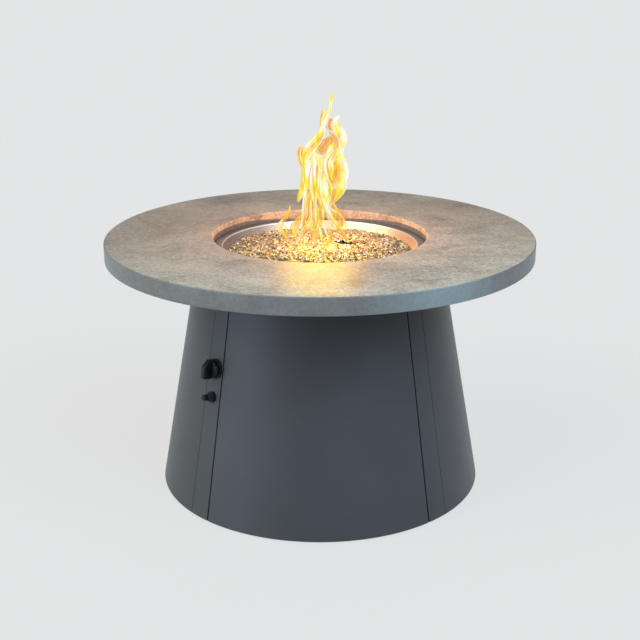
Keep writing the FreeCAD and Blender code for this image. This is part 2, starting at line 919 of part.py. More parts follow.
def port_union(start, radius, length, wall, tube_radius):
    """Fitting on one of the valve's upper ports, bored for the tube that it holds."""
    fitting = Part.makeCylinder(radius, length, start, ACROSS)
    socket = Part.makeCylinder(tube_radius + screw_gap, length, start + ACROSS * wall, ACROSS)
    return placed(fitting.cut(socket), valve_place)


def make_valve_outlet():
    start = V(0, valve_head, port_level)
    return port_union(start, union_radius, union_length, union_wall, gas_tube_radius)


def make_pilot_union():
    start = V(pilot_port_side, valve_head, pilot_port_level)
    return port_union(start, small_union_radius, small_union_length, small_union_wall, pilot_tube_radius)


def make_probe_nut():
    """Nut that holds the thermocouple's lead on the safety magnet."""
    nut = disc(small_union_radius, probe_nut_rear, probe_nut_front)
    socket = disc(probe_lead_radius + screw_gap, probe_nut_rear - past, probe_nut_front - small_union_wall)
    return placed(nut.cut(socket), valve_place)


def make_valve_screws():
    screws = []
    for rise in (-screw_boss_rise, screw_boss_rise):
        head = disc(valve_screw_head_radius, 0, valve_screw_head_height, 0, rise)
        shank = disc(valve_screw_radius, -screw_length, 0, 0, rise)
        screws.append(placed(joined(head, [shank]), valve_place))
    return screws


def make_valve_plunger():
    return placed(disc(plunger_radius, stem_tip - plunger_length, stem_tip - slip_gap), valve_place)


def flat_cut(radius, flat, low, high):
    """The part of a shaft that its drive flat takes away."""
    return block(-radius - past, radius + past, flat, radius + past, low, high)


def make_valve_stem():
    """Shaft with a drive flat at the knob's end."""
    shaft = disc(stem_radius, stem_tip, stem_reach)
    flat = flat_cut(stem_radius, stem_flat, stem_flat_start, stem_reach + past)
    return placed(shaft.cut(flat), valve_place)


def make_knob_bezel():
    """Dished ring over the valve's screws."""
    low = seat_gap / 2
    bore = neck_radius + screw_gap
    roof = bezel_height - bezel_wall
    ring = full_turn([
        (bore, roof), (bezel_radius - bezel_wall - bezel_chamfer, roof), (bezel_radius - bezel_wall, low),
        (bezel_radius, low), (bezel_radius, bezel_height - bezel_chamfer),
        (bezel_radius - bezel_chamfer, bezel_height), (bore, bezel_height)])
    return placed(ring, valve_place)


knob_back = bezel_height + knob_travel + knob_gap
knob_bore_end = stem_reach + knob_gap


def make_knob():
    """Round back with an upright finger bar, bevelled at its pointer end, on the stem's flat."""
    back_top = knob_back + skirt_disc_height
    back = full_turn([
        (0, knob_back), (skirt_disc_radius, knob_back), (skirt_disc_radius, knob_back + skirt_disc_edge),
        (skirt_disc_top_radius, back_top), (0, back_top)])
    side = [
        (-grip_half_height, knob_back + past), (grip_half_height, knob_back + past),
        (grip_half_height, grip_chamfer_top), (grip_chamfer_height, grip_top), (-grip_half_height, grip_top)]
    corners = [V(-grip_width / 2, rise, out) for rise, out in side]
    bar = Part.Face(Part.makePolygon(corners + corners[:1])).extrude(V(grip_width, 0, 0))
    bar = bar.common(disc(skirt_disc_radius, 0, grip_top + past))
    outer = [edge for edge in bar.Edges if edge.BoundBox.ZMin > back_top + past]
    bar = bar.makeChamfer(grip_bevel, outer)
    knob = joined(back, [bar])
    bore = stem_radius + drive_gap
    socket = disc(bore, knob_back - past, knob_bore_end)
    flat = flat_cut(bore, stem_flat + drive_gap, knob_back - 2 * past, knob_bore_end + past)
    return placed(knob.cut(socket.cut(flat)), valve_place)


# Igniter, drawn with Z out of the skirt

igniter_front = -post_sheet - seat_gap * 2
igniter_rear = igniter_front - igniter_length
button_low = -button_tail
guide_low = button_low - button_travel - knob_gap


def make_igniter_body():
    """Round housing with a neck through the post, hollow for the battery and the button."""
    body = disc(igniter_radius, igniter_rear, igniter_front)
    neck = disc(igniter_neck_radius, igniter_front - past, igniter_neck_reach)
    cell_low = guide_low - battery_length - battery_nub_height - 2 * slip_gap
    cell = disc(igniter_radius - igniter_wall, cell_low, guide_low + past)
    guide = disc(button_radius + slip_gap, guide_low, igniter_neck_reach + past)
    return placed(joined(body, [neck]).cut([cell, guide]), igniter_place)


def make_igniter_battery():
    low = guide_low - battery_length - battery_nub_height - slip_gap
    cell = disc(battery_radius, low, low + battery_length)
    nub = disc(battery_nub_radius, low + battery_length, low + battery_length + battery_nub_height)
    return placed(joined(cell, [nub]), igniter_place)


def make_igniter_nut():
    bore = igniter_neck_radius + screw_gap
    low = seat_gap / 2
    high = igniter_nut_height
    nut = full_turn([
        (bore, low), (igniter_nut_radius, low), (igniter_nut_radius, high - igniter_nut_chamfer),
        (igniter_nut_radius - igniter_nut_chamfer, high), (bore, high)])
    return placed(nut, igniter_place)


def make_igniter_button():
    button = disc(button_radius, button_low, button_reach)
    end = [edge for edge in button.Edges if edge.BoundBox.ZMin > 0]
    return placed(button.makeChamfer(button_bevel, end), igniter_place)


def make_igniter_terminal():
    return placed(disc(terminal_radius, igniter_rear - terminal_length, igniter_rear), igniter_place)


# Pilot assembly, drawn with X outward from the axis towards the controls and Y sideways

def make_pilot_bracket():
    """Strip above the glass on an upright web, with a foot on the pan's floor."""
    low_side, high_side = pilot_strip_ends
    near = -pilot_reach + pilot_strip_width / 2
    far = -pilot_reach - pilot_strip_width / 2
    sheet = pilot_strip_sheet
    strip = block(far - sheet, near, low_side, high_side, pilot_strip_top - sheet, pilot_strip_top)
    web = block(far - sheet, far, low_side, high_side, pan_floor, pilot_strip_top)
    foot = block(far - sheet - pilot_foot_depth / 2, far, low_side, high_side, pan_floor, pan_floor + sheet)
    window = block(far - sheet - past, far + past, low_side + web_margin, high_side - web_margin,
                   pan_floor + web_margin, pilot_strip_top - web_margin)
    rods = ((hood_side, hood_radius), (probe_side, probe_radius), (electrode_side, insulator_radius))
    cuts = [window]
    for side, radius in rods:
        cuts.append(disc(radius + screw_gap, pilot_strip_top - sheet - past, pilot_strip_top + past,
                         -pilot_reach, side))
    return along_service(joined(strip, [web, foot]).cut(cuts))


def make_pilot_hood():
    """Pilot burner with a slot towards the probe."""
    high = pilot_strip_top + hood_rise
    hood = disc(hood_radius, high - hood_height, high, -pilot_reach, hood_side)
    slot = block(-pilot_reach - hood_slot / 2, -pilot_reach + hood_slot / 2,
                 hood_side - hood_radius - past, hood_side, pilot_strip_top + past, high - hood_cap)
    return along_service(hood.cut(slot))


def make_probe():
    high = pilot_strip_top + probe_rise
    probe = disc(probe_radius, pilot_line_end, high, -pilot_reach, probe_side)
    tip = [edge for edge in probe.Edges if edge.BoundBox.ZMin > pilot_line_end + past]
    return along_service(probe.makeChamfer(probe_tip, tip))


def make_electrode_insulator():
    return along_service(tube(insulator_radius, electrode_radius + drive_gap, pilot_line_end,
                              pilot_strip_top + insulator_rise, -pilot_reach, electrode_side))


def make_electrode_rod():
    return along_service(disc(electrode_radius, pilot_line_end, pilot_strip_top + electrode_rise,
                              -pilot_reach, electrode_side))


# Gas line and leads

def climb(start, height):
    """Where a line from the start, parallel to the skirt at the controls, reaches a height."""
    up = valve_place.Rotation.multVec(ACROSS)
    return start + up * ((height - start.z) / up.z)


def make_gas_tube():
    """From the valve's outlet up along the post, then level to the orifice."""
    start = valve_place.multVec(V(0, valve_head + union_wall, port_level))
    end = service(0, orifice_start + orifice_length + union_length, elbow_level)
    return bent_tube([start, climb(start, elbow_level), end], gas_tube_radius, gas_tube_bend)


def make_orifice_nut():
    start = V(orifice_start + orifice_length, 0, elbow_level)
    nut = Part.makeCylinder(union_radius, union_length + union_wall, start, ALONG)
    socket = Part.makeCylinder(
        gas_tube_radius + screw_gap, union_length, start + ALONG * union_length, ALONG)
    return along_service(nut.cut(socket))


def make_pilot_tube():
    start = valve_place.multVec(V(pilot_port_side, valve_head + small_union_wall, pilot_port_level))
    points = [
        start, climb(start, lead_level),
        service(hood_side, ring_radius, lead_level), service(hood_side, -pilot_reach, lead_level),
        service(hood_side, -pilot_reach, pilot_strip_top + hood_rise - hood_height)]
    return bent_tube(points, pilot_tube_radius, lead_bend)


def pilot_lead(place, rear, run_side, end_side, radius):
    """Lead from a control's rear: inward, up past the cylinder, under the pan and up to the pilot."""
    start = place.multVec(V(0, 0, rear))
    inward = place.multVec(V(0, 0, rear - lead_inward))
    level = math.hypot(inward.x, inward.y)
    points = [
        start, inward, service(-run_side, level, lead_level), service(-run_side, -lead_clear, lead_level),
        service(end_side, -pilot_reach, lead_level), service(end_side, -pilot_reach, pilot_line_end)]
    return bent_tube(points, radius, lead_bend)


def make_probe_lead():
    rear = probe_nut_front - small_union_wall
    return pilot_lead(valve_place, rear, lead_side, probe_side, probe_lead_radius)


def make_igniter_lead():
    rear = igniter_rear - terminal_length
    return pilot_lead(igniter_place, rear, igniter_lead_side, electrode_side, igniter_lead_radius)


def all_pieces():
    """Solids of each node, by the node's name."""
    pieces = {
        "table_top": [make_table_top()],
        "top_inserts": make_top_inserts(),
        "top_bolts": make_top_bolts(),
        "burner_pan": [make_burner_pan()],
        "burner_ring": [make_burner_ring()],
        "burner_nipple": [make_burner_nipple()],
        "burner_locknuts": make_burner_locknuts(),
        "inlet_elbow": [make_inlet_elbow()],
        "air_mixer": [make_air_mixer()],
        "gas_orifice": [make_gas_orifice()],
        "orifice_nut": [make_orifice_nut()],
        "gas_tube": [make_gas_tube()],
        "fire_glass": [make_fire_glass()],
        "pilot_bracket": [make_pilot_bracket()],
        "pilot_hood": [make_pilot_hood()],
        "pilot_tube": [make_pilot_tube()],
        "thermocouple": [make_probe()],
        "thermocouple_lead": [make_probe_lead()],
        "electrode_insulator": [make_electrode_insulator()],
        "electrode_rod": [make_electrode_rod()],
        "igniter_lead": [make_igniter_lead()],
        "valve_body": [make_valve_body()],
        "valve_inlet": [make_valve_inlet()],
        "valve_outlet": [make_valve_outlet()],
        "pilot_union": [make_pilot_union()],
        "thermocouple_nut": [make_probe_nut()],
        "valve_screws": make_valve_screws(),
        "valve_plunger": [make_valve_plunger()],
        "valve_stem": [make_valve_stem()],
        "knob_bezel": [make_knob_bezel()],
        "knob": [make_knob()],
        "igniter_body": [make_igniter_body()],
        "igniter_battery": [make_igniter_battery()],
        "igniter_terminal": [make_igniter_terminal()],
        "igniter_nut": [make_igniter_nut()],
        "igniter_button": [make_igniter_button()],
        "top_ring": [make_top_ring()],
        "base_ring": [make_base_ring()],
        "floor_plate": [make_floor_plate()],
        "tank_collar": [make_tank_collar()],
        "glide_pads": make_glide_pads(),
        "glide_studs": make_glide_studs(),
        "glide_nuts": make_glide_nuts(),
        "catch_brackets": make_catch_brackets(),
        "catch_magnets": make_catch_magnets(),
    }
    pieces.update(make_posts())
    pieces.update(make_panels())
    return pieces


def main():
    os.makedirs("parts", exist_ok=True)
    for name, solids in all_pieces().items():
        shape = solids[0] if len(solids) == 1 else Part.makeCompound(solids)
        found = len(shape.Solids)
        if found != len(solids) or not shape.isValid():
            print("CHECK", name, found, "solids of", len(solids), "valid", shape.isValid())
        shape.exportStep(os.path.join("parts", name + ".step"))
    print("nodes written")


main()
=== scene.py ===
import math

import bmesh
import bpy
import numpy as np
from mathutils import Matrix, Vector


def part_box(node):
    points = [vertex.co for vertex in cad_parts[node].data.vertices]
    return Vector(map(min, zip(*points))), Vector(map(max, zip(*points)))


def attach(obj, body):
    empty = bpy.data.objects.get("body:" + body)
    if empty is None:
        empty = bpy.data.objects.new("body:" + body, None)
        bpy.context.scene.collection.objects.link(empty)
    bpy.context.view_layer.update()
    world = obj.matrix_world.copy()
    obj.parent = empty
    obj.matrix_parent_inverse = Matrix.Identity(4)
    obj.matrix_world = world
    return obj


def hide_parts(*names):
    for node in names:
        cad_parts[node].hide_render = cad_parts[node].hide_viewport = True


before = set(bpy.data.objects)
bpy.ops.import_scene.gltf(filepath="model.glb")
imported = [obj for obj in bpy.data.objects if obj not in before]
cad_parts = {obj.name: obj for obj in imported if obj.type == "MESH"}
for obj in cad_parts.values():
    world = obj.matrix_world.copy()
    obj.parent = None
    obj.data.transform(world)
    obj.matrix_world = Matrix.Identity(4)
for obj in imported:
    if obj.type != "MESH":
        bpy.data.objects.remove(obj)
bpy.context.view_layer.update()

# Gas fire pit table. Metres, +Z up, the front faces -Y, and azimuths are degrees from the front towards +X.
# Every finish comes first, then the pieces from the top down, then the flame, the lights and the camera.


# shader maths

class Wire:
    # one output of a node, and arithmetic on it adds Math nodes

    def __init__(self, finish, socket):
        self.finish = finish
        self.socket = socket

    def math(self, operation, *values, clamp=False):
        settings = {"operation": operation, "use_clamp": clamp}
        return self.finish.node("ShaderNodeMath", settings, dict(enumerate(values)))

    def __add__(self, other):
        return self.math("ADD", self, other)

    def __sub__(self, other):
        return self.math("SUBTRACT", self, other)

    def __mul__(self, other):
        return self.math("MULTIPLY", self, other)

    def __truediv__(self, other):
        return self.math("DIVIDE", self, other)

    def __pow__(self, other):
        return self.math("POWER", self, other)

    def __rsub__(self, other):
        return self.math("SUBTRACT", other, self)

    __radd__ = __add__
    __rmul__ = __mul__

    def clamped(self):
        return self.math("ADD", self, 0.0, clamp=True)


class Finish:
    # a material, or the world, being built: node() adds any node, with its settings set before its sockets

    def __init__(self, name, world=None):
        self.material = world or bpy.data.materials.new(name)
        self.material.use_nodes = True
        self.tree = self.material.node_tree
        self.tree.nodes.clear()
        self.place = self.node("ShaderNodeTexCoord", take="Generated" if world else "Object")

    def node(self, kind, settings=None, sockets=None, take=0):
        added = self.tree.nodes.new(kind)
        for key, value in (settings or {}).items():
            if key == "stops":
                self.fillRamp(added.color_ramp, value)
            else:
                setattr(added, key, value)
        for key, value in (sockets or {}).items():
            socket = added.inputs[key]
            if isinstance(value, Wire):
                self.tree.links.new(value.socket, socket)
            else:
                socket.default_value = (*value, 1.0) if socket.type == "RGBA" else value
        return Wire(self, added.outputs[take]) if len(added.outputs) else None

    def fillRamp(self, ramp, stops):
        while len(ramp.elements) < len(stops):
            ramp.elements.new(1.0)
        for element, (position, colour) in zip(ramp.elements, stops):
            element.position = position
            element.color = (*colour, 1.0)

    def noise(self, scale, detail, roughness=0.5, place=None, distortion=0.0):
        return self.node("ShaderNodeTexNoise", None, {
            "Vector": place or self.place, "Scale": scale, "Detail": detail, "Roughness": roughness,
            "Distortion": distortion})

    def cells(self, scale, take):
        sockets = {"Vector": self.place, "Scale": scale}
        return self.node("ShaderNodeTexVoronoi", {"feature": "F1"}, sockets, take)

    def stretched(self, scale):
        return self.node("ShaderNodeMapping", None, {"Vector": self.place, "Scale": scale})

    def attribute(self, name):
        return self.node("ShaderNodeAttribute", {"attribute_name": name}, take="Fac")

    def facing(self):
        # 0 where a surface faces the ray, up to 1 at its edge
        return self.node("ShaderNodeLayerWeight", None, {"Blend": 0.5}, take="Facing")

    def ray(self, kind):
        # 1 for rays of one kind, 0 for the others
        return self.node("ShaderNodeLightPath", take=kind)

    def vector(self, operation, *values, take=0):
        return self.node("ShaderNodeVectorMath", {"operation": operation}, dict(enumerate(values)), take)

    def mix(self, share, first, second, blend="MIX"):
        settings = {"data_type": "RGBA", "blend_type": blend}
        return self.node("ShaderNodeMix", settings, {0: share, 6: first, 7: second}, take=2)

    def along(self, axis):
        return self.node("ShaderNodeSeparateXYZ", None, {"Vector": self.place}, take=axis)

    def fromAxis(self):
        # distance from the upright axis
        flat = self.vector("MULTIPLY", self.place, (1.0, 1.0, 0.0))
        return self.vector("LENGTH", flat, take="Value")

    def ramp(self, value, stops):
        return self.node("ShaderNodeValToRGB", {"stops": stops}, {"Fac": value})

    def band(self, value, low, high):
        # 0 below low, 1 above high and straight between
        return ((value - low) / (high - low)).clamped()

    def between(self, value, rise, fall):
        # up from 0 to 1 over the rise, and down again over the fall
        return self.band(value, *rise) * (1 - self.band(value, *fall))

    def bump(self, height, distance, strength):
        sockets = {"Height": height, "Distance": distance, "Strength": strength}
        return self.node("ShaderNodeBump", None, sockets)

    def surface(self, sockets):
        shader = self.node("ShaderNodeBsdfPrincipled", None, sockets)
        self.node("ShaderNodeOutputMaterial", None, {"Surface": shader})
        return self.material


# finishes

concrete = {
    "pale": (0.392, 0.330, 0.281), "mid": (0.285, 0.237, 0.202), "dark": (0.170, 0.140, 0.120),
    "lightTint": (1.36, 1.42, 1.46), "shadeTint": (0.84, 0.77, 0.72),
    "fineDark": (0.72, 0.72, 0.72), "finePale": (1.26, 1.25, 1.23), "pore": (0.085, 0.072, 0.064),
    "rim": (0.159, 0.161, 0.162), "shadedRimPale": (0.207, 0.208, 0.208), "rimFrom": (0.5305, 0.5321),
    "rimHighlight": (0.292, 0.345, 0.365), "rimHighlightRise": (0.10, 0.25), "rimHighlightFall": (0.31, 0.43),
    "soot": (0.045, 0.052, 0.066), "wallShadeTop": 0.6195, "wallShadeRise": 0.0105, "wallShadeSides": (0.004, 0.040),
    "wallShadeFade": 0.002, "holeWall": (0.272, 0.278), "roughness": 0.40, "cloudScale": 5.5,
    "streakScale": 24.0, "grainScale": 150.0, "speckleScale": 480.0, "poreScale": 260.0}


def castConcrete():
    finish = Finish("castConcrete")
    clouds = finish.noise(concrete["cloudScale"], 7.0, 0.66, distortion=0.7)
    streaks = finish.noise(concrete["streakScale"], 6.0, 0.70, finish.stretched((0.55, 1.0, 1.0)))
    grain = finish.noise(concrete["grainScale"], 4.0, 0.72)
    speckle = finish.noise(concrete["speckleScale"], 3.0, 0.65)
    tone = clouds * 0.45 + streaks * 0.30 + grain * 0.25
    base = finish.ramp(tone, [(0.39, concrete["dark"]), (0.48, concrete["mid"]), (0.58, concrete["pale"])])
    # painted light and shade: the top is painted paler towards the front and right and darker towards the
    # back
    towardsShade = finish.along("Y") - finish.along("X") * 0.25 + clouds * 0.5
    lightTint = finish.mix(finish.band(towardsShade, -0.30, 0.42), concrete["lightTint"], concrete["shadeTint"])
    base = finish.mix(1.0, base, lightTint, "MULTIPLY")
    # painted shade: the upright rim is painted a darker, greyer copy of the concrete, mottled at random
    worn = finish.band(streaks * 0.7 + grain * 0.3, 0.38, 0.64)
    edge = finish.mix(worn, concrete["rim"], concrete["shadedRimPale"])
    # painted highlight: a paler patch on the rim, in front on the right, standing in for a window's
    # reflection
    sideways = finish.along("X") + (clouds - 0.5) * 0.15
    highlightMask = finish.between(sideways, concrete["rimHighlightRise"], concrete["rimHighlightFall"])
    edge = finish.mix(highlightMask, edge, concrete["rimHighlight"])
    fromAxis = finish.fromAxis()
    onRim = finish.band(fromAxis, *concrete["rimFrom"])
    base = finish.mix(onRim, base, edge)
    fineShare = finish.band(grain * 0.55 + speckle * 0.45, 0.40, 0.61)
    fine = finish.mix(fineShare, concrete["fineDark"], concrete["finePale"])
    colour = finish.mix(1 - onRim * 0.65, base, fine, "MULTIPLY")
    cells = finish.cells(concrete["poreScale"], "Distance")
    pores = (1 - finish.band(cells, 0.10, 0.26)) * finish.band(finish.noise(60.0, 2.0), 0.49, 0.60)
    colour = finish.mix(pores * 0.6, colour, concrete["pore"])
    # painted shade: the foot of the hole's wall is painted dark, and higher up on both sides
    fromMiddle = finish.band(finish.along("X") * finish.along("X"), *concrete["wallShadeSides"])
    wallShadeTop = fromMiddle * concrete["wallShadeRise"] + concrete["wallShadeTop"]
    soot = 1 - ((finish.along("Z") - wallShadeTop) / concrete["wallShadeFade"]).clamped()
    inHole = 1 - finish.band(fromAxis, *concrete["holeWall"])
    colour = finish.mix(soot * inHole * 0.85, colour, concrete["soot"])
    height = grain * 0.5 + clouds * 0.4 - pores
    return finish.surface({
        "Base Color": colour, "Roughness": concrete["roughness"] + (streaks - 0.5) * 0.25 + pores * 0.2,
        "Specular IOR Level": 0.42, "Normal": finish.bump(height, 0.0008, 0.6)})


powder = {"colour": (0.0412, 0.0435, 0.0505), "worn": (0.056, 0.0585, 0.067), "sparkle": (0.16, 0.17, 0.18),
          "roughness": 0.42}


def graphiteCoat():
    finish = Finish("graphiteCoat")
    peel = finish.noise(520.0, 2.0, 0.55)
    drift = finish.noise(3.2, 3.0)
    colour = finish.mix(finish.band(drift, 0.35, 0.68), powder["colour"], powder["worn"])
    sparkle = finish.band(finish.noise(1600.0, 1.0), 0.60, 0.72)
    colour = finish.mix(sparkle * 0.25, colour, powder["sparkle"])
    return finish.surface({
        "Base Color": colour, "Metallic": 0.15, "Roughness": powder["roughness"] + (peel - 0.5) * 0.18,
        "Normal": finish.bump(peel, 0.00025, 0.35)})


def roundGrain(finish, fineness):
    # rings of brushing about the axis: noise read along (distance from the axis, height)
    sockets = {"X": finish.fromAxis() * fineness, "Y": finish.along("Z") * fineness}
    return finish.noise(1.0, 2.0, 0.7, finish.node("ShaderNodeCombineXYZ", None, sockets))


# painted light and shade across the pan's steel, from its dark left and front to its bright, warm back right
# where the flame's light falls, then the flange above them
panLightTints = [(0.0, (0.30, 0.245, 0.25)), (0.25, (0.46, 0.38, 0.355)), (0.58, (0.90, 0.68, 0.54)),
             (0.80, (1.0, 0.86, 0.60)), (1.0, (1.0, 0.58, 0.37))]
flangeLighting = {"colour": (0.20, 0.215, 0.245), "from": (0.6184, 0.6194), "bendHighlight": (0.95, 0.92, 0.88),
              "bendRise": (0.6160, 0.6166), "bendFall": (0.6184, 0.6188)}


def panSteel():
    finish = Finish("panSteel")
    brushing = roundGrain(finish, 900.0)
    smudge = finish.noise(14.0, 4.0, 0.6)
    # painted light and shade: the pan's colour grows brighter and warmer towards its back right
    across = (finish.along("X") + finish.along("Y") * 0.45) * 2.0 + 0.45 + (smudge - 0.5) * 0.25
    colour = finish.ramp(across.clamped(), panLightTints)
    height = finish.along("Z")
    # painted reflection and shade: the flange is painted a dark bluish grey
    colour = finish.mix(finish.band(height, *flangeLighting["from"]), colour, flangeLighting["colour"])
    # painted highlight: a bright line along the bend under the flange
    onBend = finish.between(height, flangeLighting["bendRise"], flangeLighting["bendFall"])
    colour = finish.mix(onBend * 0.9, colour, flangeLighting["bendHighlight"])
    return finish.surface({
        "Base Color": colour, "Metallic": 0.85, "Roughness": 0.20 + brushing * 0.10 + smudge * 0.06,
        "Normal": finish.bump(brushing, 0.00012, 0.25)})


# each metal's light and dark tones, its roughness and the scale of its patches
metals = {
    "zincSteel": ((0.66, 0.67, 0.69), (0.46, 0.47, 0.48), 0.34, 90.0),
    "brightSteel": ((0.70, 0.69, 0.67), (0.55, 0.54, 0.53), 0.26, 60.0),
    "brass": ((0.80, 0.60, 0.28), (0.56, 0.40, 0.18), 0.30, 80.0),
    "burntSteel": ((0.085, 0.052, 0.038), (0.020, 0.014, 0.012), 0.52, 120.0),
    "drawnAluminium": ((0.78, 0.79, 0.80), (0.62, 0.63, 0.64), 0.32, 70.0),
    "copper": ((0.72, 0.38, 0.24), (0.45, 0.23, 0.15), 0.33, 80.0),
    "dieCast": ((0.60, 0.61, 0.62), (0.44, 0.45, 0.46), 0.50, 160.0),
    "nickel": ((0.78, 0.78, 0.79), (0.66, 0.66, 0.67), 0.18, 50.0)}


def metalFinish(name):
    light, dark, roughness, scale = metals[name]
    finish = Finish(name)
    patches = finish.noise(scale, 4.0, 0.6)
    scratches = finish.noise(scale * 6, 2.0, 0.6, finish.stretched((1.0, 1.0, 0.15)))
    return finish.surface({
        "Base Color": finish.mix(finish.band(patches, 0.35, 0.65), dark, light), "Metallic": 1.0,
        "Roughness": roughness + (patches - 0.5) * 0.2, "Normal": finish.bump(scratches, 0.0001, 0.25)})


# each plastic or glaze: light and dark tones, roughness, coat, depth of the grain and shine
plastics = {
    "knobBlack": ((0.005, 0.006, 0.009), (0.003, 0.003, 0.004), 0.32, 0.0, 0.00004, 0.30),
    "nylonBlack": ((0.030, 0.030, 0.031), (0.018, 0.018, 0.019), 0.55, 0.0, 0.0002, 0.5),
    "siliconeSleeve": ((0.040, 0.038, 0.038), (0.022, 0.022, 0.023), 0.48, 0.0, 0.0001, 0.5),
    "glazedCeramic": ((0.90, 0.88, 0.83), (0.74, 0.70, 0.62), 0.22, 0.6, 0.00005, 0.5),
    "cellSleeve": ((0.13, 0.13, 0.14), (0.08, 0.08, 0.09), 0.35, 0.2, 0.00005, 0.5)}


def plasticFinish(name):
    light, dark, roughness, coat, depth, shine = plastics[name]
    finish = Finish(name)
    flow = finish.noise(45.0, 3.0)
    grain = finish.noise(900.0, 2.0, 0.6)
    return finish.surface({
        "Base Color": finish.mix(finish.band(flow, 0.38, 0.62), dark, light),
        "Roughness": roughness + (flow - 0.5) * 0.12, "Coat Weight": coat, "Coat Roughness": 0.12,
        "Specular IOR Level": shine, "Normal": finish.bump(grain, depth, 0.4)})


glassTones = [(0.0, (0.050, 0.038, 0.021)), (0.25, (0.125, 0.092, 0.049)), (0.55, (0.25, 0.180, 0.100)),
              (0.82, (0.42, 0.33, 0.20)), (1.0, (0.66, 0.57, 0.44))]


def fireGlass():
    # each gem has its own tone, and the facets and a fine cloud vary it
    finish = Finish("fireGlass")
    tone = finish.attribute("gemTone")
    cloud = finish.noise(420.0, 2.0)
    colour = finish.ramp((tone * 0.8 + cloud * 0.35 - 0.07).clamped(), glassTones)
    return finish.surface({
        "Base Color": colour, "Metallic": 0.35, "Roughness": 0.07 + cloud * 0.12,
        "Specular IOR Level": 0.7, "Coat Weight": 0.55, "Coat Roughness": 0.05,
        "Normal": finish.bump(cloud, 0.0002, 0.3)})


def bedShade():
    finish = Finish("bedShade")
    value = finish.node("ShaderNodeSeparateColor", None, {"Color": finish.cells(130.0, "Color")})
    colour = finish.ramp(value, [(0.0, (0.05, 0.035, 0.015)), (1.0, (0.45, 0.32, 0.13))])
    return finish.surface({"Base Color": colour, "Roughness": 0.35 - value * 0.15,
                           "Normal": finish.bump(value, 0.002, 0.8)})


finishes = {"castConcrete": castConcrete(), "graphiteCoat": graphiteCoat(), "panSteel": panSteel(),
            "fireGlass": fireGlass(), "bedShade": bedShade()}
finishes.update({name: metalFinish(name) for name in metals})
finishes.update({name: plasticFinish(name) for name in plastics})
print("finishes made:", len(finishes))


# shapes

def roundedPath(corners, steps, closed=False):
    # each corner (x, y, radius) is swapped for an arc that touches both of its sides:
    # the arc's middle lies radius / sin(half the corner) along the corner's bisector
    corners = np.asarray(corners, float)
    corners, radii = corners[:, :2], corners[:, 2]
    share = np.linspace(0, 1, steps + 1)[:, None]
    count = len(corners)
    pieces = []
    for i in range(count):
        if radii[i] <= 0 or (not closed and i in (0, count - 1)):
            pieces.append(corners[i:i + 1])
            continue
        back = corners[i - 1] - corners[i]
        ahead = corners[(i + 1) % count] - corners[i]
        back = back / np.linalg.norm(back)
        ahead = ahead / np.linalg.norm(ahead)
        half = math.acos(np.clip(back @ ahead, -1, 1)) / 2
        middle = corners[i] + (back + ahead) / np.linalg.norm(back + ahead) * radii[i] / math.sin(half)
        first = corners[i] + back * radii[i] / math.tan(half) - middle
        last = corners[i] + ahead * radii[i] / math.tan(half) - middle
        sweep = math.pi - 2 * half
        arc = np.sin((1 - share) * sweep) * first + np.sin(share * sweep) * last
        pieces.append(middle + arc / math.sin(sweep))
    return np.vstack(pieces)


def gridFaces(rows, columns, wrapRows=False, wrapColumns=False):
    # four neighbours on a grid make a face, and a wrapped side joins its last line to its first
    row = np.arange(rows if wrapRows else rows - 1)
    column = np.arange(columns if wrapColumns else columns - 1)
    i, j = np.meshgrid(row, column, indexing="ij")
    nextRow, nextColumn = (i + 1) % rows, (j + 1) % columns
    quads = np.stack([i * columns + j, i * columns + nextColumn, nextRow * columns + nextColumn,
                      nextRow * columns + j], axis=-1)
    return quads.reshape(-1, 4)


def around(radius, angle, height):
    # x = radius sin a, y = -radius cos a, z = height
    return np.stack([radius * np.sin(angle), -radius * np.cos(angle), height + 0 * angle], axis=-1)


def spunShell(path, segments, closed=True):
    # (radius, height) points turned about the upright axis
    angle = np.linspace(0, 2 * np.pi, segments, endpoint=False)
    points = around(path[:, :1], angle, path[:, 1:])
    return points.reshape(-1, 3), gridFaces(len(path), segments, wrapRows=closed, wrapColumns=True)


def joinShells(shells):
    # several (points, faces) shells as one, with later faces counted on from earlier points
    points, faces, start = [], [], 0
    for shellPoints, shellFaces in shells:
        points.append(shellPoints)
        faces += [[int(i) + start for i in face] for face in shellFaces]
        start += len(shellPoints)
    return np.vstack(points), faces


def moved(points, place):
    return points @ place[:3, :3].T + place[:3, 3]


def newObject(name, data):
    item = bpy.data.objects.new(name, data)
    bpy.context.scene.collection.objects.link(item)
    return item


def meshObject(name, points, faces, material, smooth=True):
    mesh = bpy.data.meshes.new(name)
    faces = [[int(i) for i in face] for face in faces]
    mesh.from_pydata(points.tolist(), [], faces, shade_flat=not smooth)
    mesh.materials.append(material)
    return newObject(name, mesh)


def paintPoints(item, name, values):
    # a value for each point, which a finish reads by its name
    attribute = item.data.attributes.new(name, "FLOAT", "POINT")
    attribute.data.foreach_set("value", values.astype(np.float32))


def weldedObject(name, points, faces, finish, sharpAngle):
    # doubles merged, faces turned outwards, and edges sharper than the angle kept sharp
    item = meshObject(name, points, faces, finishes[finish])
    welded = bmesh.new()
    welded.from_mesh(item.data)
    bmesh.ops.remove_doubles(welded, verts=welded.verts, dist=1e-6)
    bmesh.ops.dissolve_degenerate(welded, edges=welded.edges, dist=1e-6)
    bmesh.ops.recalc_face_normals(welded, faces=welded.faces)
    welded.to_mesh(item.data)
    welded.free()
    item.data.set_sharp_from_angle(angle=math.radians(sharpAngle))
    return item


def declare(item, body, replaced=None):
    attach(item, body)
    if replaced:
        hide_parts(replaced)


def addPiece(name, points, faces, finish, body, slotName, replaced, sharpAngle=35.0):
    declare(weldedObject(name, points, faces, finish, sharpAngle), body, replaced)


# where the controls stand on the skirt: azimuth, and the heights of their axes
controls = {"azimuth": -45.0, "knob": 0.375, "igniter": 0.306}


# the cast top

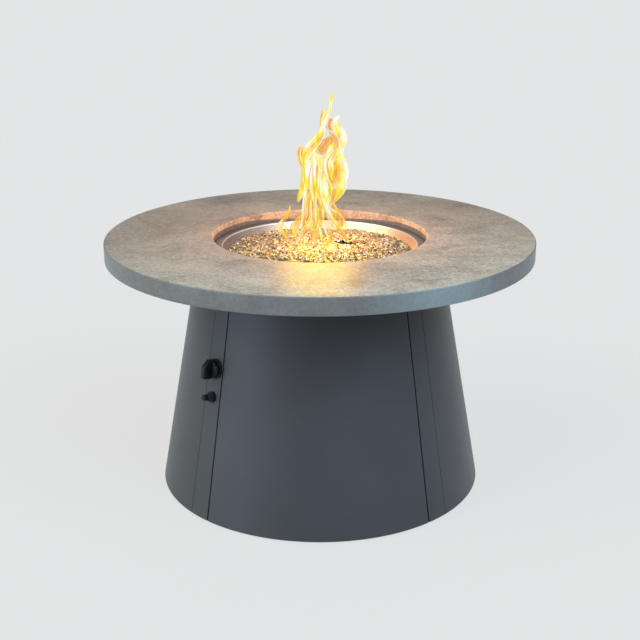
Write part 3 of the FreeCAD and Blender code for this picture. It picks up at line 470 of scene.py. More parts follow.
topLow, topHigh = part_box("table_top")
slab = {"thickness": 0.024, "rimWidth": 0.028, "rimDraft": 0.004, "bossRadius": 0.326, "holeRadius": 0.267,
        "recessRadius": 0.266, "recessHeight": 0.6206, "ledgeRadius": 0.250, "ledgeHeight": 0.6185,
        "holeRound": 0.0045, "arris": 0.0028, "foot": 0.002, "inner": 0.003, "ledgeRound": 0.001,
        "ribWidth": 0.016, "ribHeight": 0.012, "ribCount": 8}


def castTop():
    outer, high, low = topHigh.x, topHigh.z, topLow.z
    ceiling = high - slab["thickness"]
    bore = outer - slab["rimWidth"]
    boss, draft, inner = slab["bossRadius"], slab["rimDraft"], slab["inner"]
    hole, recess, recessHeight = slab["holeRadius"], slab["recessRadius"], slab["recessHeight"]
    ledge, ledgeHeight = slab["ledgeRadius"], slab["ledgeHeight"]
    profile = [
        (recess, ledgeHeight, 0), (recess, recessHeight, 0), (hole, recessHeight, 0),
        (hole, high, slab["holeRound"]), (outer, high, slab["arris"]), (outer, low, slab["foot"]),
        (bore, low, inner), (bore - draft, ceiling, inner), (boss + draft, ceiling, inner),
        (boss, low, inner), (ledge, low, slab["ledgeRound"]), (ledge, ledgeHeight, 0)]
    shells = [spunShell(roundedPath(profile, 7, closed=True), 256)]
    half = slab["ribWidth"] / 2
    x, y, z = np.array([(x, y, z) for x in (boss - half, bore + half) for y in (-half, half)
                        for z in (ceiling - slab["ribHeight"], ceiling + half)]).T
    sides = [(0, 1, 3, 2), (4, 6, 7, 5), (0, 4, 5, 1), (2, 3, 7, 6), (0, 2, 6, 4), (1, 5, 7, 3)]
    for k in range(slab["ribCount"]):
        turn = math.radians((k + 0.5) * 360 / slab["ribCount"])
        sin, cos = math.sin(turn), math.cos(turn)
        shells.append((np.stack([x * sin + y * cos, y * sin - x * cos, z], axis=-1), sides))
    return joinShells(shells)


addPiece("castTop", *castTop(), "castConcrete", "root", "cast_concrete", "table_top")
print("cast top made")


# the burner pan

panLow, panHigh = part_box("burner_pan")
pan = {"flangeRadius": 0.265, "mouthRadius": 0.246, "floorRadius": 0.203, "sheet": 0.0015,
       "floor": panLow.z + 0.0015, "flange": panHigh.z, "mouthBend": 0.005, "kneeBend": 0.014,
       "hole": 0.0108, "edgeRound": 0.0006}


def panWallRadius(height):
    share = (pan["flange"] - height) / (pan["flange"] - pan["floor"])
    return pan["mouthRadius"] + (pan["floorRadius"] - pan["mouthRadius"]) * share


def spunPan():
    # the wall's outside lies as far out of its inside as keeps the sheet's thickness square to it
    sheet, floor, flange = pan["sheet"], pan["floor"], pan["flange"]
    knee, mouth, edge = pan["kneeBend"], pan["mouthBend"], pan["edgeRound"]
    slope = (pan["mouthRadius"] - pan["floorRadius"]) / (flange - floor)
    widen = sheet * math.sqrt(1 + slope ** 2)
    mouthUnder = pan["mouthRadius"] - slope * sheet + widen
    floorUnder = pan["floorRadius"] - slope * sheet + widen
    profile = [
        (pan["hole"], floor, 0), (pan["floorRadius"], floor, knee), (pan["mouthRadius"], flange, mouth),
        (pan["flangeRadius"], flange, edge), (pan["flangeRadius"], flange - sheet, edge),
        (mouthUnder, flange - sheet, mouth + sheet), (floorUnder, floor - sheet, knee + sheet),
        (pan["hole"], floor - sheet, 0)]
    return spunShell(roundedPath(profile, 8, closed=True), 192)


addPiece("spunPan", *spunPan(), "panSteel", "root", "stainless", "burner_pan")
print("pan made")


# the glass bed: thousands of tumbled pieces over a closed core

bed = {"edge": panHigh.z - 0.023, "crown": 0.006, "crownRadius": 0.110, "edgeRadius": 0.2245,
       "layers": 3, "layerDrop": 0.0034, "layerIn": 0.004, "layerShift": (0.33, 0.29), "past": 0.003,
       "spacing": 0.0068, "jitter": 0.0020, "rise": 0.0012, "sink": 0.0012, "templates": 14,
       "gemLow": 0.0031, "gemHigh": 0.0055, "gemCorners": 0.78, "gemRough": 0.16, "gemStretch": (0.75, 1.15),
       "seed": 11, "coreDrop": 0.005, "coreGap": 0.0003, "coreWall": 0.001, "coreFoot": (0.020, 0.008, 0.004)}
heaps = {"spacing": 0.056, "turn": 137.508, "reach": 0.189, "foot": 0.033, "top": 0.011, "high": 0.0045,
         "sunk": 0.002}
pilotPit = {"reach": (-0.103, -0.0765), "side": (-0.031, 0.034), "drop": 0.004, "middle": -0.088,
            "length": 0.022, "width": 0.045}
service = math.radians(controls["azimuth"])


def serviceFrame(x, y):
    # outward from the axis towards the controls, and sideways
    out = x * math.sin(service) - y * math.cos(service)
    side = x * math.cos(service) + y * math.sin(service)
    return out, side


def crownHeight(radius):
    slope = np.clip((bed["edgeRadius"] - radius) / (bed["edgeRadius"] - bed["crownRadius"]), 0, 1)
    return bed["edge"] + bed["crown"] * slope


def bedHeight(x, y):
    # the crown, or a heap where one rises over it: heap k stands sqrt((k + 0.5) area / pi) out and k turns
    # round, and its side falls evenly from its top radius to its foot
    level = crownHeight(np.hypot(x, y))
    area = heaps["spacing"] ** 2 * math.sin(math.radians(60))
    for k in range(int(math.pi * heaps["reach"] ** 2 / area)):
        distance, azimuth = math.sqrt((k + 0.5) * area / math.pi), math.radians(k * heaps["turn"])
        away = np.hypot(x - distance * math.sin(azimuth), y + distance * math.cos(azimuth))
        rise = np.clip((heaps["foot"] - away) / (heaps["foot"] - heaps["top"]), 0, 1)
        rise = rise * (heaps["high"] + heaps["sunk"])
        level = np.maximum(level, crownHeight(distance) - heaps["sunk"] + rise)
    return level


def gemTemplate(random):
    # the convex hull of the jittered corners and face middles of a squat box
    corners = np.array([(x, y, z) for x in (-1, 1) for y in (-1, 1) for z in (-1, 1)], float)
    middles = np.array([(1.2, 0, 0), (-1.1, 0.2, 0), (0, 1.15, 0.1), (0.1, -1.2, 0)], float)
    cloud = np.vstack([corners * bed["gemCorners"], middles]) + random.normal(0, bed["gemRough"], (12, 3))
    cloud *= random.uniform(*bed["gemStretch"], 3)
    hull = bmesh.new()
    for point in cloud:
        hull.verts.new(point)
    made = bmesh.ops.convex_hull(hull, input=hull.verts)
    bmesh.ops.delete(hull, geom=[v for v in made["geom_interior"] if isinstance(v, bmesh.types.BMVert)],
                     context="VERTS")
    hull.verts.index_update()
    points = np.array([v.co[:] for v in hull.verts])
    faces = np.array([[v.index for v in f.verts] for f in hull.faces])
    hull.free()
    return points, faces


def randomTurns(random, count):
    # unit quaternions drawn evenly, as rotation matrices
    w, x, y, z = random.normal(size=(count, 4)).T
    size = np.sqrt(w * w + x * x + y * y + z * z)
    w, x, y, z = w / size, x / size, y / size, z / size
    return np.stack([
        np.stack([1 - 2 * (y * y + z * z), 2 * (x * y - z * w), 2 * (x * z + y * w)], -1),
        np.stack([2 * (x * y + z * w), 1 - 2 * (x * x + z * z), 2 * (y * z - x * w)], -1),
        np.stack([2 * (x * z - y * w), 2 * (y * z + x * w), 1 - 2 * (x * x + y * y)], -1)], axis=1)


def gemPlaces(random, layer):
    # a triangular grid over the bed with each point jittered, clear of the pilot's strip
    step = bed["spacing"]
    reach = int(bed["edgeRadius"] / step) + 2
    i, j = np.meshgrid(np.arange(-reach, reach + 1), np.arange(-reach - 4, reach + 5), indexing="ij")
    x = (j + 0.5 * (i % 2) + bed["layerShift"][0] * layer).ravel() * step
    y = (i * math.sqrt(0.75) + bed["layerShift"][1] * layer).ravel() * step
    x = x + random.uniform(-1, 1, x.shape) * bed["jitter"]
    y = y + random.uniform(-1, 1, y.shape) * bed["jitter"]
    out, side = serviceFrame(x, y)
    inPit = ((out > pilotPit["reach"][0]) & (out < pilotPit["reach"][1])
             & (side > pilotPit["side"][0]) & (side < pilotPit["side"][1]))
    keep = (np.hypot(x, y) < bed["edgeRadius"] + bed["past"] - layer * bed["layerIn"]) & ~inPit
    near = np.exp(-((out - pilotPit["middle"]) / pilotPit["length"]) ** 2 - (side / pilotPit["width"]) ** 4)
    z = bedHeight(x, y) - bed["sink"] - layer * bed["layerDrop"] - near * pilotPit["drop"]
    z = z + random.uniform(-1, 1, x.shape) * bed["rise"]
    return np.stack([x, y, z], axis=-1)[keep]


def addGems(name, half):
    # the half of the bed on one side of the middle line, front 0 or back 1
    random = np.random.default_rng(bed["seed"] + half)
    templates = [gemTemplate(random) for _ in range(bed["templates"])]
    places = np.vstack([gemPlaces(random, layer) for layer in range(bed["layers"])])
    places = places[(places[:, 1] > 0) == bool(half)]
    kind = random.integers(0, bed["templates"], len(places))
    size = random.uniform(bed["gemLow"], bed["gemHigh"], len(places))
    shells, tones = [], []
    for k, (points, faces) in enumerate(templates):
        mine = places[kind == k]
        turns = randomTurns(random, len(mine))
        scaled = points[None] * size[kind == k][:, None, None]
        gems = np.einsum("nij,npj->npi", turns, scaled) + mine[:, None]
        offsets = np.arange(len(mine))[:, None, None] * len(points)
        shells.append((gems.reshape(-1, 3), (faces[None] + offsets).reshape(-1, 3)))
        tones.append(np.repeat(random.uniform(0, 1, len(mine)) ** 0.9, len(points)))
    points, faces = joinShells(shells)
    item = meshObject(name, points, faces, finishes["fireGlass"], smooth=False)
    paintPoints(item, "gemTone", np.concatenate(tones))
    declare(item, "root")
    print(name, "gems, triangles:", len(faces))


def bedCore():
    # closed underneath, and its upper side follows the bed a little way down
    low = pan["floor"] + bed["coreGap"]
    wall = panWallRadius(bed["edge"] - bed["coreDrop"]) - bed["coreWall"]
    inner, outer, rise = bed["coreFoot"]
    path = [(0, low), (pan["floorRadius"] - inner, low), (pan["floorRadius"] - outer, low + rise)]
    path += [(radius, bed["edge"]) for radius in np.linspace(wall, 0, 40)]
    points, faces = spunShell(np.array(path), 120, closed=False)
    upper = points[:, 2] > bed["edge"] - 1e-6
    points[upper, 2] = bedHeight(points[upper, 0], points[upper, 1]) - bed["coreDrop"]
    return points, faces


addPiece("glassCore", *bedCore(), "bedShade", "root", "fire_glass", "fire_glass")
addGems("glassFront", 0)
addGems("glassBack", 1)


# the sheet metal cone: posts and panels folded from one grid each

skirt = {"foot": 0.4125, "head": 0.305, "low": 0.005, "high": 0.6007, "top": 0.601,
         "returnLow": 0.0205, "returnHigh": 0.5862, "fold": 0.0016, "rows": 18, "boredRows": 100}
skirtSlope = (skirt["foot"] - skirt["head"]) / (skirt["top"] - skirt["low"])
lean = math.atan(skirtSlope)
posts = {"span": 8.2, "sheet": 0.0015, "lip": 0.040, "return": 0.020, "columns": 14,
         "bores": {"post_front_left": [(controls["knob"], 0.0082), (controls["igniter"], 0.0094)]},
         "azimuths": {"post_front_left": controls["azimuth"], "post_front_right": 45.0,
                      "post_rear_right": 135.0, "post_rear_left": -135.0}}
panels = {"sheet": 0.0012, "lip": 0.022, "return": 0.018, "seam": 0.0003, "accessSeam": 0.0024, "columns": 72,
          "azimuths": {"access_panel": 0.0, "right_panel": 90.0, "rear_panel": 180.0, "left_panel": -90.0}}


def skirtRadius(height):
    return skirt["foot"] - (height - skirt["low"]) * skirtSlope


def areaVector(points, faces):
    # half the cross product of the diagonals, summed over the faces
    corners = points[faces]
    return np.cross(corners[:, 2] - corners[:, 0], corners[:, 3] - corners[:, 1]).sum(axis=0) / 2


def bored(points, faces, azimuth, height, radius, window=0.019):
    # the square of faces about (azimuth, height) gives way to a ring of faces round a hole: each corner of
    # the square's border is joined to the point of the circle in the same direction
    middle = skirtRadius(height)
    across = (np.arctan2(points[:, 0], -points[:, 1]) - math.radians(azimuth)) * middle
    rise = (points[:, 2] - height) / math.cos(lean)
    near = (np.abs(across) < window) & (np.abs(rise) < window) & (
        np.abs(np.hypot(points[:, 0], points[:, 1]) - skirtRadius(points[:, 2])) < 1e-6)
    gone = near[faces].all(axis=1)
    edges = np.sort(np.concatenate([faces[gone][:, [k, (k + 1) % 4]] for k in range(4)]), axis=1)
    single, uses = np.unique(edges, axis=0, return_counts=True)
    border = np.unique(single[uses == 1])
    direction = np.arctan2(rise[border], across[border])
    border, direction = border[np.argsort(direction)], np.sort(direction)
    level = height + radius * np.sin(direction) * math.cos(lean)
    angle = math.radians(azimuth) + radius * np.cos(direction) / middle
    ring = around(skirtRadius(level), angle, level)
    inner = len(points) + np.arange(len(border))
    quads = np.stack([border, np.roll(border, -1), np.roll(inner, -1), inner], axis=-1)
    points = np.vstack([points, ring])
    if areaVector(points, quads) @ areaVector(points, faces[gone]) < 0:
        quads = quads[:, ::-1]
    return points, np.vstack([faces[~gone], quads])


def foldedSheet(azimuth, halfSpan, sizes, rows):
    # radius = cone radius at the height - inset of the column - inset of the row: columns run in along one
    # side's return, round its fold, across the skin and back in, and rows do the same over the two lips
    fold, columns = skirt["fold"], sizes["columns"]
    corner = np.linspace(0, np.pi / 2, 6)[1:-1]
    past = np.concatenate([[0, 0, 0], fold * (1 - np.cos(corner)), [fold]])

    def insets(depth, count):
        half = np.concatenate([[depth, depth * 0.5, fold], fold * (1 - np.sin(corner)), [0]])
        return np.concatenate([half, np.zeros(count), half[::-1]])

    def isFolded(line):
        return np.minimum(line[:-1], line[1:]) > fold * 0.99

    inset, rowInset = insets(sizes["return"], columns), insets(sizes["lip"], rows)
    along = np.concatenate([past, np.zeros(columns), -past[::-1]])
    span = np.linspace(-halfSpan, halfSpan, columns + 2)
    edge = np.concatenate([np.full(7, span[0]), span, np.full(7, span[-1])])
    low, high = skirt["low"], skirt["high"]
    middle = np.linspace(low + 2 * fold, high - 2 * fold, rows)
    height = np.concatenate([low + past, middle, high - past[::-1]])
    level = height[:, None]
    radius = skirtRadius(level) - inset - rowInset[:, None]
    angle = math.radians(azimuth) + np.radians(edge) + along / skirtRadius(level)
    # the returns stop short of the lips and of both rings
    middles = (height[:-1] + height[1:]) / 2
    cutBack = isFolded(rowInset) | (middles < skirt["returnLow"]) | (middles > skirt["returnHigh"])
    faces = gridFaces(len(height), len(inset))[~np.outer(cutBack, isFolded(inset)).ravel()]
    return around(radius, angle, level).reshape(-1, 3), faces


def addSheet(node, body, azimuth, halfSpan, sizes, bores=()):
    points, faces = foldedSheet(azimuth, halfSpan, sizes, skirt["boredRows"] if bores else skirt["rows"])
    for height, radius in bores:
        points, faces = bored(points, faces, azimuth, height, radius)
    # right_panel becomes rightPanelSkin
    name = node.title().replace("_", "") + "Skin"
    item = weldedObject(name[0].lower() + name[1:], points, faces, "graphiteCoat", 50.0)
    skin = bmesh.new()
    skin.from_mesh(item.data)
    bmesh.ops.delete(skin, geom=[v for v in skin.verts if not v.link_faces], context="VERTS")
    outward = sum(f.normal.xy.dot(f.calc_center_median().xy) * f.calc_area() for f in skin.faces)
    if outward < 0:
        bmesh.ops.reverse_faces(skin, faces=skin.faces)
    # sharp borders keep the rim's shading off the skin once the sheet is thick
    for edge in skin.edges:
        edge.smooth = edge.smooth and not edge.is_boundary
    skin.to_mesh(item.data)
    skin.free()
    solid = item.modifiers.new("sheet", "SOLIDIFY")
    solid.thickness = sizes["sheet"]
    solid.offset = -1.0
    declare(item, body, node)


for node, azimuth in posts["azimuths"].items():
    addSheet(node, "root", azimuth, posts["span"] / 2, posts, posts["bores"].get(node, ()))
for node, azimuth in panels["azimuths"].items():
    comesOff = node == "access_panel"
    seam = panels["accessSeam"] if comesOff else panels["seam"]
    half = 45.0 - posts["span"] / 2 - math.degrees(seam / skirt["head"])
    addSheet(node, "access_panel" if comesOff else "root", azimuth, half, panels)
print("cone made")


# the knob and the igniter, drawn with Z out of the skirt and Y up along it

def skirtPlace(azimuth, height):
    turn = math.radians(azimuth)
    level = np.array([math.sin(turn), -math.cos(turn), 0.0])
    top = np.array([0.0, 0.0, 1.0])
    out = level * math.cos(lean) + top * math.sin(lean)
    up = top * math.cos(lean) - level * math.sin(lean)
    place = np.eye(4)
    place[:3, 0], place[:3, 1], place[:3, 2] = np.cross(up, out), up, out
    place[:3, 3] = level * skirtRadius(height) + top * height
    return place


knobPlace = skirtPlace(controls["azimuth"], controls["knob"])
igniterPlace = skirtPlace(controls["azimuth"], controls["igniter"])
knobSizes = {"back": 0.0095, "radius": 0.0236, "topRadius": 0.0218, "edge": 0.0125, "high": 0.0185,
             "gripTop": 0.038, "gripHalf": 0.0236, "bevelFrom": 0.025, "bevelTo": 0.007, "gripWidth": 0.0125,
             "round": 0.0016}


def knobDisc():
    back, radius, high = knobSizes["back"], knobSizes["radius"], knobSizes["high"]
    profile = [(0, back, 0), (radius, back, 0.0008), (radius, knobSizes["edge"], 0.0012),
               (knobSizes["topRadius"], high, 0.0018), (0, high, 0)]
    return spunShell(roundedPath(profile, 5), 72, closed=False)


def knobGrip():
    # across the bar its outline keeps its size, then draws in by the rounding towards both flat sides
    half, foot, top = knobSizes["gripHalf"], knobSizes["back"] + 0.001, knobSizes["gripTop"]
    outline = roundedPath(
        [(-half + 0.0004, foot, 0.0006), (half - 0.0004, foot, 0.0006),
         (half - 0.0010, knobSizes["bevelFrom"], 0.004), (knobSizes["bevelTo"], top, 0.003),
         (-half + 0.0010, top, 0.0025)], 6, closed=True)
    turn = np.linspace(0, np.pi / 2, 6)
    draw = knobSizes["round"] * (1 - np.sin(turn))
    across = knobSizes["gripWidth"] / 2 - knobSizes["round"] * (1 - np.cos(turn))
    across = np.concatenate([across, -across[::-1]])
    draw = np.concatenate([draw, draw[::-1]])
    towards = outline - outline.mean(0)
    towards = towards / np.linalg.norm(towards, axis=1)[:, None]
    rings = outline[None] - towards[None] * draw[:, None, None]
    count = len(outline)
    points = np.stack([np.repeat(across[:, None], count, 1), rings[..., 0], rings[..., 1]], axis=-1)
    faces = gridFaces(len(across), count, wrapColumns=True).tolist()
    last = (len(across) - 1) * count
    return points.reshape(-1, 3), faces + [range(count), range(last, last + count)]


# round parts: each corner's distance from the axis, distance out of the skirt and rounding
turnedParts = {
    "knobRing": {"body": "root", "node": "knob_bezel", "place": knobPlace, "corners": [
        (0.0082, 0.0038, 0), (0.0213, 0.0038, 0.0008), (0.0230, 0.00015, 0), (0.0242, 0.00015, 0.0002),
        (0.0242, 0.0033, 0.0012), (0.0225, 0.0050, 0.0012), (0.0082, 0.0050, 0.0003)]},
    "igniterRing": {"body": "root", "node": "igniter_nut", "place": igniterPlace, "corners": [
        (0.0094, 0.00015, 0), (0.0132, 0.00015, 0.0004), (0.0132, 0.0068, 0.0010), (0.0120, 0.0080, 0.0006),
        (0.0094, 0.0080, 0.0003)]},
    "igniterCap": {"body": "igniter_button", "node": "igniter_button", "place": igniterPlace, "corners": [
        (0, -0.012, 0), (0.0070, -0.012, 0.0005), (0.0070, 0.0235, 0.0006), (0.0064, 0.0245, 0.0006),
        (0.0070, 0.0255, 0.0006), (0.0068, 0.0290, 0.0022), (0, 0.0290, 0)]}}


def addControl(name, body, node, place, shell):
    points, faces = shell
    addPiece(name, moved(points, place), faces, "knobBlack", body, "black_plastic", node, 40.0)


addControl("knobCap", "knob", "knob", knobPlace, joinShells([knobDisc(), knobGrip()]))
for name, part in turnedParts.items():
    hollow = part["corners"][0][0] > 0
    path = roundedPath(part["corners"], 4 if hollow else 5, closed=hollow)
    shell = spunShell(path, 96 if hollow else 72, closed=hollow)
    addControl(name, part["body"], part["node"], part["place"], shell)
print("controls made")


# finishes of the pieces that keep their own shape

carriedOver = {
    "zincSteel": ["top_bolts", "burner_locknuts", "air_mixer", "valve_screws", "valve_plunger", "valve_stem",
                  "glide_studs", "glide_nuts"],
    "brass": ["top_inserts", "burner_nipple", "inlet_elbow", "gas_orifice", "orifice_nut", "valve_inlet",
              "valve_outlet", "pilot_union", "thermocouple_nut", "igniter_terminal"],
    "brightSteel": ["burner_ring", "gas_tube"],
    "burntSteel": ["pilot_bracket", "pilot_hood", "thermocouple", "electrode_rod"],
    "drawnAluminium": ["pilot_tube"],
    "copper": ["thermocouple_lead"],
    "glazedCeramic": ["electrode_insulator"],
    "siliconeSleeve": ["igniter_lead"],
    "dieCast": ["valve_body"],
    "nylonBlack": ["igniter_body", "glide_pads"],
    "cellSleeve": ["igniter_battery"],
    "nickel": ["catch_magnets"],
    "graphiteCoat": ["top_ring", "base_ring", "floor_plate", "tank_collar", "catch_brackets"]}

for finishName, nodes in carriedOver.items():
    for node in nodes:
        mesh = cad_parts[node].data
        mesh.materials.clear()
        mesh.materials.append(finishes[finishName])
print("finishes put on", sum(len(nodes) for nodes in carriedOver.values()), "nodes")


# the flame: burning gas, no part of the object, as soft strands drawn one by one

flame = {"steps": 40, "sides": 14, "flat": 0.7, "thinnest": 0.0008, "seed": 23, "mirrored": (5.5, 4.4, 0.165),
         "yellower": (0.65, 0.81), "threads": 3, "threadsFrom": 0.006, "threadWidth": 0.0013,
         "threadReach": 0.70, "threadAhead": 14, "threadWander": 0.3, "threadTints": (0.25, 0.6, 1.0),
         "threadOpacity": 0.55, "airGlow": 7.5, "airOpacity": 0.8}
flameTones = [(0.0, (0.84, 0.30, 0.12)), (0.18, (0.93, 0.42, 0.08)), (0.36, (1.0, 0.64, 0.03)),
              (0.52, (1.0, 0.93, 0.04)), (0.70, (1.0, 0.99, 0.36)), (0.84, (1.0, 1.0, 0.98))]
airTones = [(0.0, (1.0, 0.74, 0.03)), (0.35, (1.0, 0.56, 0.04)), (0.60, (1.0, 0.16, 0.05)),
            (1.0, (0.9, 0.08, 0.05))]
# each strand: depth, tint and opacity, then sideways place, height and half width from its tip down, in mm
strands = [
    (0, 0.55, 0.95, [(33, 994, 1.2), (30, 982, 4.8), (27, 966, 4.1), (26, 951, 4.1), (19, 934, 4.4),
     (10, 917, 6.1), (6, 900, 8.5), (-3, 883, 11), (-19, 866, 12.2), (-31, 849, 11), (-38, 829, 8.6),
     (-35, 809, 9.8), (-33, 784, 13.6), (-38, 762, 11.1), (-48, 742, 7.4), (-55, 722, 3.7)]),
    (4, 0.35, 0.9, [(20, 946, 2.4), (11, 948, 4.2), (6, 936, 4.1), (4, 917, 3.6), (5, 900, 3.7)]),
    (6, 0.12, 0.75, [(16, 948, 3.6), (12, 933, 6.1), (10, 916, 3.6)]),
    (-6, 0.3, 0.9, [(-38, 866, 2.4), (-46, 855, 6.1), (-47, 840, 7.3), (-44, 825, 6.1), (-37, 818, 2.4)]),
    (-4, 0.5, 0.95, [(50, 936, 2.4), (42, 933, 6), (38, 918, 8.5), (45, 901, 14.6), (54, 884, 14.6),
     (52, 867, 11), (43, 850, 12.2), (35, 830, 17.1), (36, 810, 22.1), (43, 791, 23.4), (51, 773, 18.5),
     (49, 756, 14.8), (40, 738, 9.9), (29, 723, 6.2), (22, 710, 2.5)]),
    (-10, 0.92, 0.8, [(58, 900, 3.6), (55, 883, 9.7), (52, 866, 7.3), (53, 849, 6.1), (59, 831, 6.1),
     (65, 812, 6.1), (68, 794, 4.9), (63, 774, 3.7)]),
    (2, 0.05, 0.8, [(31, 929, 6.1), (22, 917, 9.7), (31, 903, 6.1)]),
    (1, 0.45, 0.8, [(23, 900, 2.4), (31, 888, 3.7), (38, 876, 4.9), (31, 861, 4.9), (19, 846, 4.9),
     (9, 832, 3.7)]),
    (3, 0.08, 0.85, [(31, 885, 6.1), (19, 873, 12.2), (2, 856, 13.5), (-6, 844, 7.3)]),
    (0, 0.5, 0.8, [(11, 881, 2.4), (-3, 866, 4.3), (-14, 851, 4.9), (-11, 834, 4.3), (-6, 814, 3.7)]),
    (4, 0.08, 0.85, [(-23, 853, 4.9), (-19, 838, 7.4), (-16, 821, 4.9)]),
    (-8, 0.85, 0.9, [(38, 858, 3.7), (26, 846, 5.5), (15, 831, 6.1), (14, 811, 6.1), (20, 786, 6.1),
     (28, 764, 6.8), (26, 744, 6.8), (20, 724, 6.2), (18, 709, 3.7)]),
    (0, 0.05, 0.9, [(41, 827, 6.1), (41, 810, 11.1), (34, 790, 9.8), (31, 767, 6.2)]),
    (8, 0.5, 0.75, [(-21, 860, 9.8), (-13, 833, 19.7), (-11, 803, 24.7), (-6, 773, 24.7), (1, 745, 21.1),
     (6, 720, 12.4), (4, 700, 6.2)]),
    (-12, 0.8, 0.9, [(-18, 851, 3.7), (-15, 831, 6.1), (-18, 807, 7.3), (-18, 780, 8.6), (-15, 752, 8.6),
     (-12, 724, 4.9), (-13, 699, 5), (-11, 676, 7.5), (-16, 661, 6.2), (-23, 671, 3.7)]),
    (-14, 0.75, 0.85, [(2, 842, 3.7), (2, 812, 5.5), (-1, 782, 6.1), (-1, 753, 8.6), (7, 733, 9.9),
     (15, 715, 7.4), (22, 700, 6.8), (32, 682, 7.4), (44, 667, 7.5), (54, 654, 5.6), (64, 641, 3.7),
     (72, 631, 2.5)]),
    (6, 0.45, 0.8, [(11, 823, 4.9), (9, 791, 8.6), (11, 758, 8.7), (16, 733, 7.4), (9, 713, 5)]),
    (10, 0.1, 0.7, [(-11, 773, 3.7), (-12, 760, 6.2), (-12, 747, 3.7)]),
    (-4, 0.55, 0.85, [(35, 725, 2.5), (39, 713, 3.2), (49, 700, 3), (59, 687, 3), (64, 672, 3),
     (65, 652, 2)]),
    (6, 0.3, 0.75, [(21, 713, 3.7), (31, 704, 5), (44, 693, 6.2), (54, 677, 6.2), (57, 659, 3.8)]),
    (10, 0.04, 0.55, [(29, 710, 3.7), (39, 692, 11.2), (44, 674, 16.3), (47, 656, 10)]),
    (-6, 0.6, 0.85, [(-33, 761, 6.2), (-37, 738, 4.9), (-38, 715, 5), (-39, 693, 5), (-41, 672, 5),
     (-36, 657, 3.7), (-43, 641, 3), (-51, 631, 2.5), (-61, 623, 1.8)]),
    (4, 0.35, 0.8, [(-26, 754, 5), (-28, 731, 5), (-32, 708, 5), (-37, 685, 4.2), (-43, 662, 3.8)]),
    (8, 0.05, 0.75, [(-31, 753, 6.2), (-30, 727, 9.9), (-32, 702, 10), (-36, 679, 6.3)]),
    (-10, 0.7, 0.8, [(-20, 742, 3.7), (-22, 716, 3.2), (-22, 691, 3.7), (-28, 673, 6.2), (-38, 666, 4.5),
     (-48, 648, 3.2), (-52, 632, 2)]),
    (-14, 0.78, 0.85, [(-6, 722, 4.9), (-6, 700, 6.2), (-4, 677, 8.7), (-9, 659, 6.2), (-12, 638, 3.7),
     (-13, 618, 2)]),
    (-12, 0.6, 0.8, [(7, 712, 3.7), (7, 692, 5), (8, 674, 4.2), (14, 656, 3.2), (19, 641, 3.7), (26, 633, 5),
     (19, 620, 3.7), (14, 610, 2)]),
    (0, 0.45, 0.75, [(0, 663, 3), (2, 648, 3), (7, 630, 3.3), (9, 612, 1.8)]),
    (6, 0.35, 0.7, [(-19, 657, 3.8), (-20, 638, 3.3), (-19, 620, 2)]),
    (-16, 0.5, 0.75, [(17, 675, 2.5), (22, 660, 3.7), (28, 644, 5), (27, 631, 5.5)]),
    (12, 0.12, 0.6, [(-29, 711, 7.5), (-24, 686, 12.5), (-16, 663, 17.6), (-11, 640, 15.1), (-11, 619, 7.6)]),
    (0, 0.5, 0.85, [(-46, 691, 3.7), (-53, 678, 8.7), (-60, 663, 12.5), (-63, 650, 10), (-61, 637, 5),
     (-59, 627, 2.5)]),
    (4, 0.6, 0.85, [(-73, 716, 1.7), (-76, 703, 3), (-82, 690, 3.5), (-91, 680, 3.7), (-97, 669, 6.3),
     (-99, 657, 6.8), (-94, 646, 5), (-86, 636, 3), (-81, 626, 2)]),
    (2, 0.45, 0.7, [(-86, 665, 3), (-84, 649, 2.8), (-85, 637, 2.5)]),
    (-8, 0.75, 0.8, [(-37, 671, 3), (-40, 656, 2.2), (-43, 644, 1.9), (-49, 634, 1.6), (-56, 625, 1.1)]),
    (-14, 0.8, 0.8, [(-7, 669, 4.2), (-9, 651, 2.5), (-11, 634, 1.9), (-12, 618, 1.1)]),
    (-12, 0.45, 0.8, [(-14, 668, 3.2), (-16, 652, 2.1), (-17, 640, 1.7), (-19, 625, 1.1)]),
    (-14, 0.7, 0.8, [(-1, 666, 3), (3, 646, 2), (6, 634, 1.7), (10, 620, 1.1)]),
    (-18, 0.7, 0.85, [(26, 640, 3), (21, 627, 4), (14, 619, 3.2), (9, 612, 2), (6, 607, 1.1)]),
    (-18, 0.6, 0.7, [(31, 648, 1.5), (29, 637, 2), (33, 624, 1.1)]),
    (-10, 0.6, 0.7, [(-29, 666, 2), (-34, 651, 2), (-42, 640, 1.5), (-49, 628, 1.1)]),
    (-6, 0.55, 0.7, [(57, 657, 2), (62, 645, 1.7), (68, 633, 1.4), (76, 621, 1)])]
# the air round the flame glows as well, which shows in what mirrors it: one strand, from its tip down
airLine = [(2, 880, 16), (4, 850, 50), (2, 815, 84), (0, 780, 106), (-4, 745, 110), (-8, 715, 88),
           (-8, 700, 50)]


def smoothLine(points, count):
    # between p1 and p2, with p0 and p3 beyond them, p = (2 p1 + (p2 - p0) t
    # + (2 p0 - 5 p1 + 4 p2 - p3) t^2 + (3 p1 - p0 - 3 p2 + p3) t^3) / 2
    points = np.asarray(points, float)
    padded = np.vstack([2 * points[0] - points[1], points, 2 * points[-1] - points[-2]])
    at = np.linspace(0, len(points) - 1 - 1e-9, count)
    k = at.astype(int)
    t = (at - k)[:, None]
    p0, p1, p2, p3 = (padded[k + n] for n in range(4))
    return (2 * p1 + (p2 - p0) * t + (2 * p0 - 5 * p1 + 4 * p2 - p3) * t ** 2
            + (3 * p1 - p0 - 3 * p2 + p3) * t ** 3) / 2


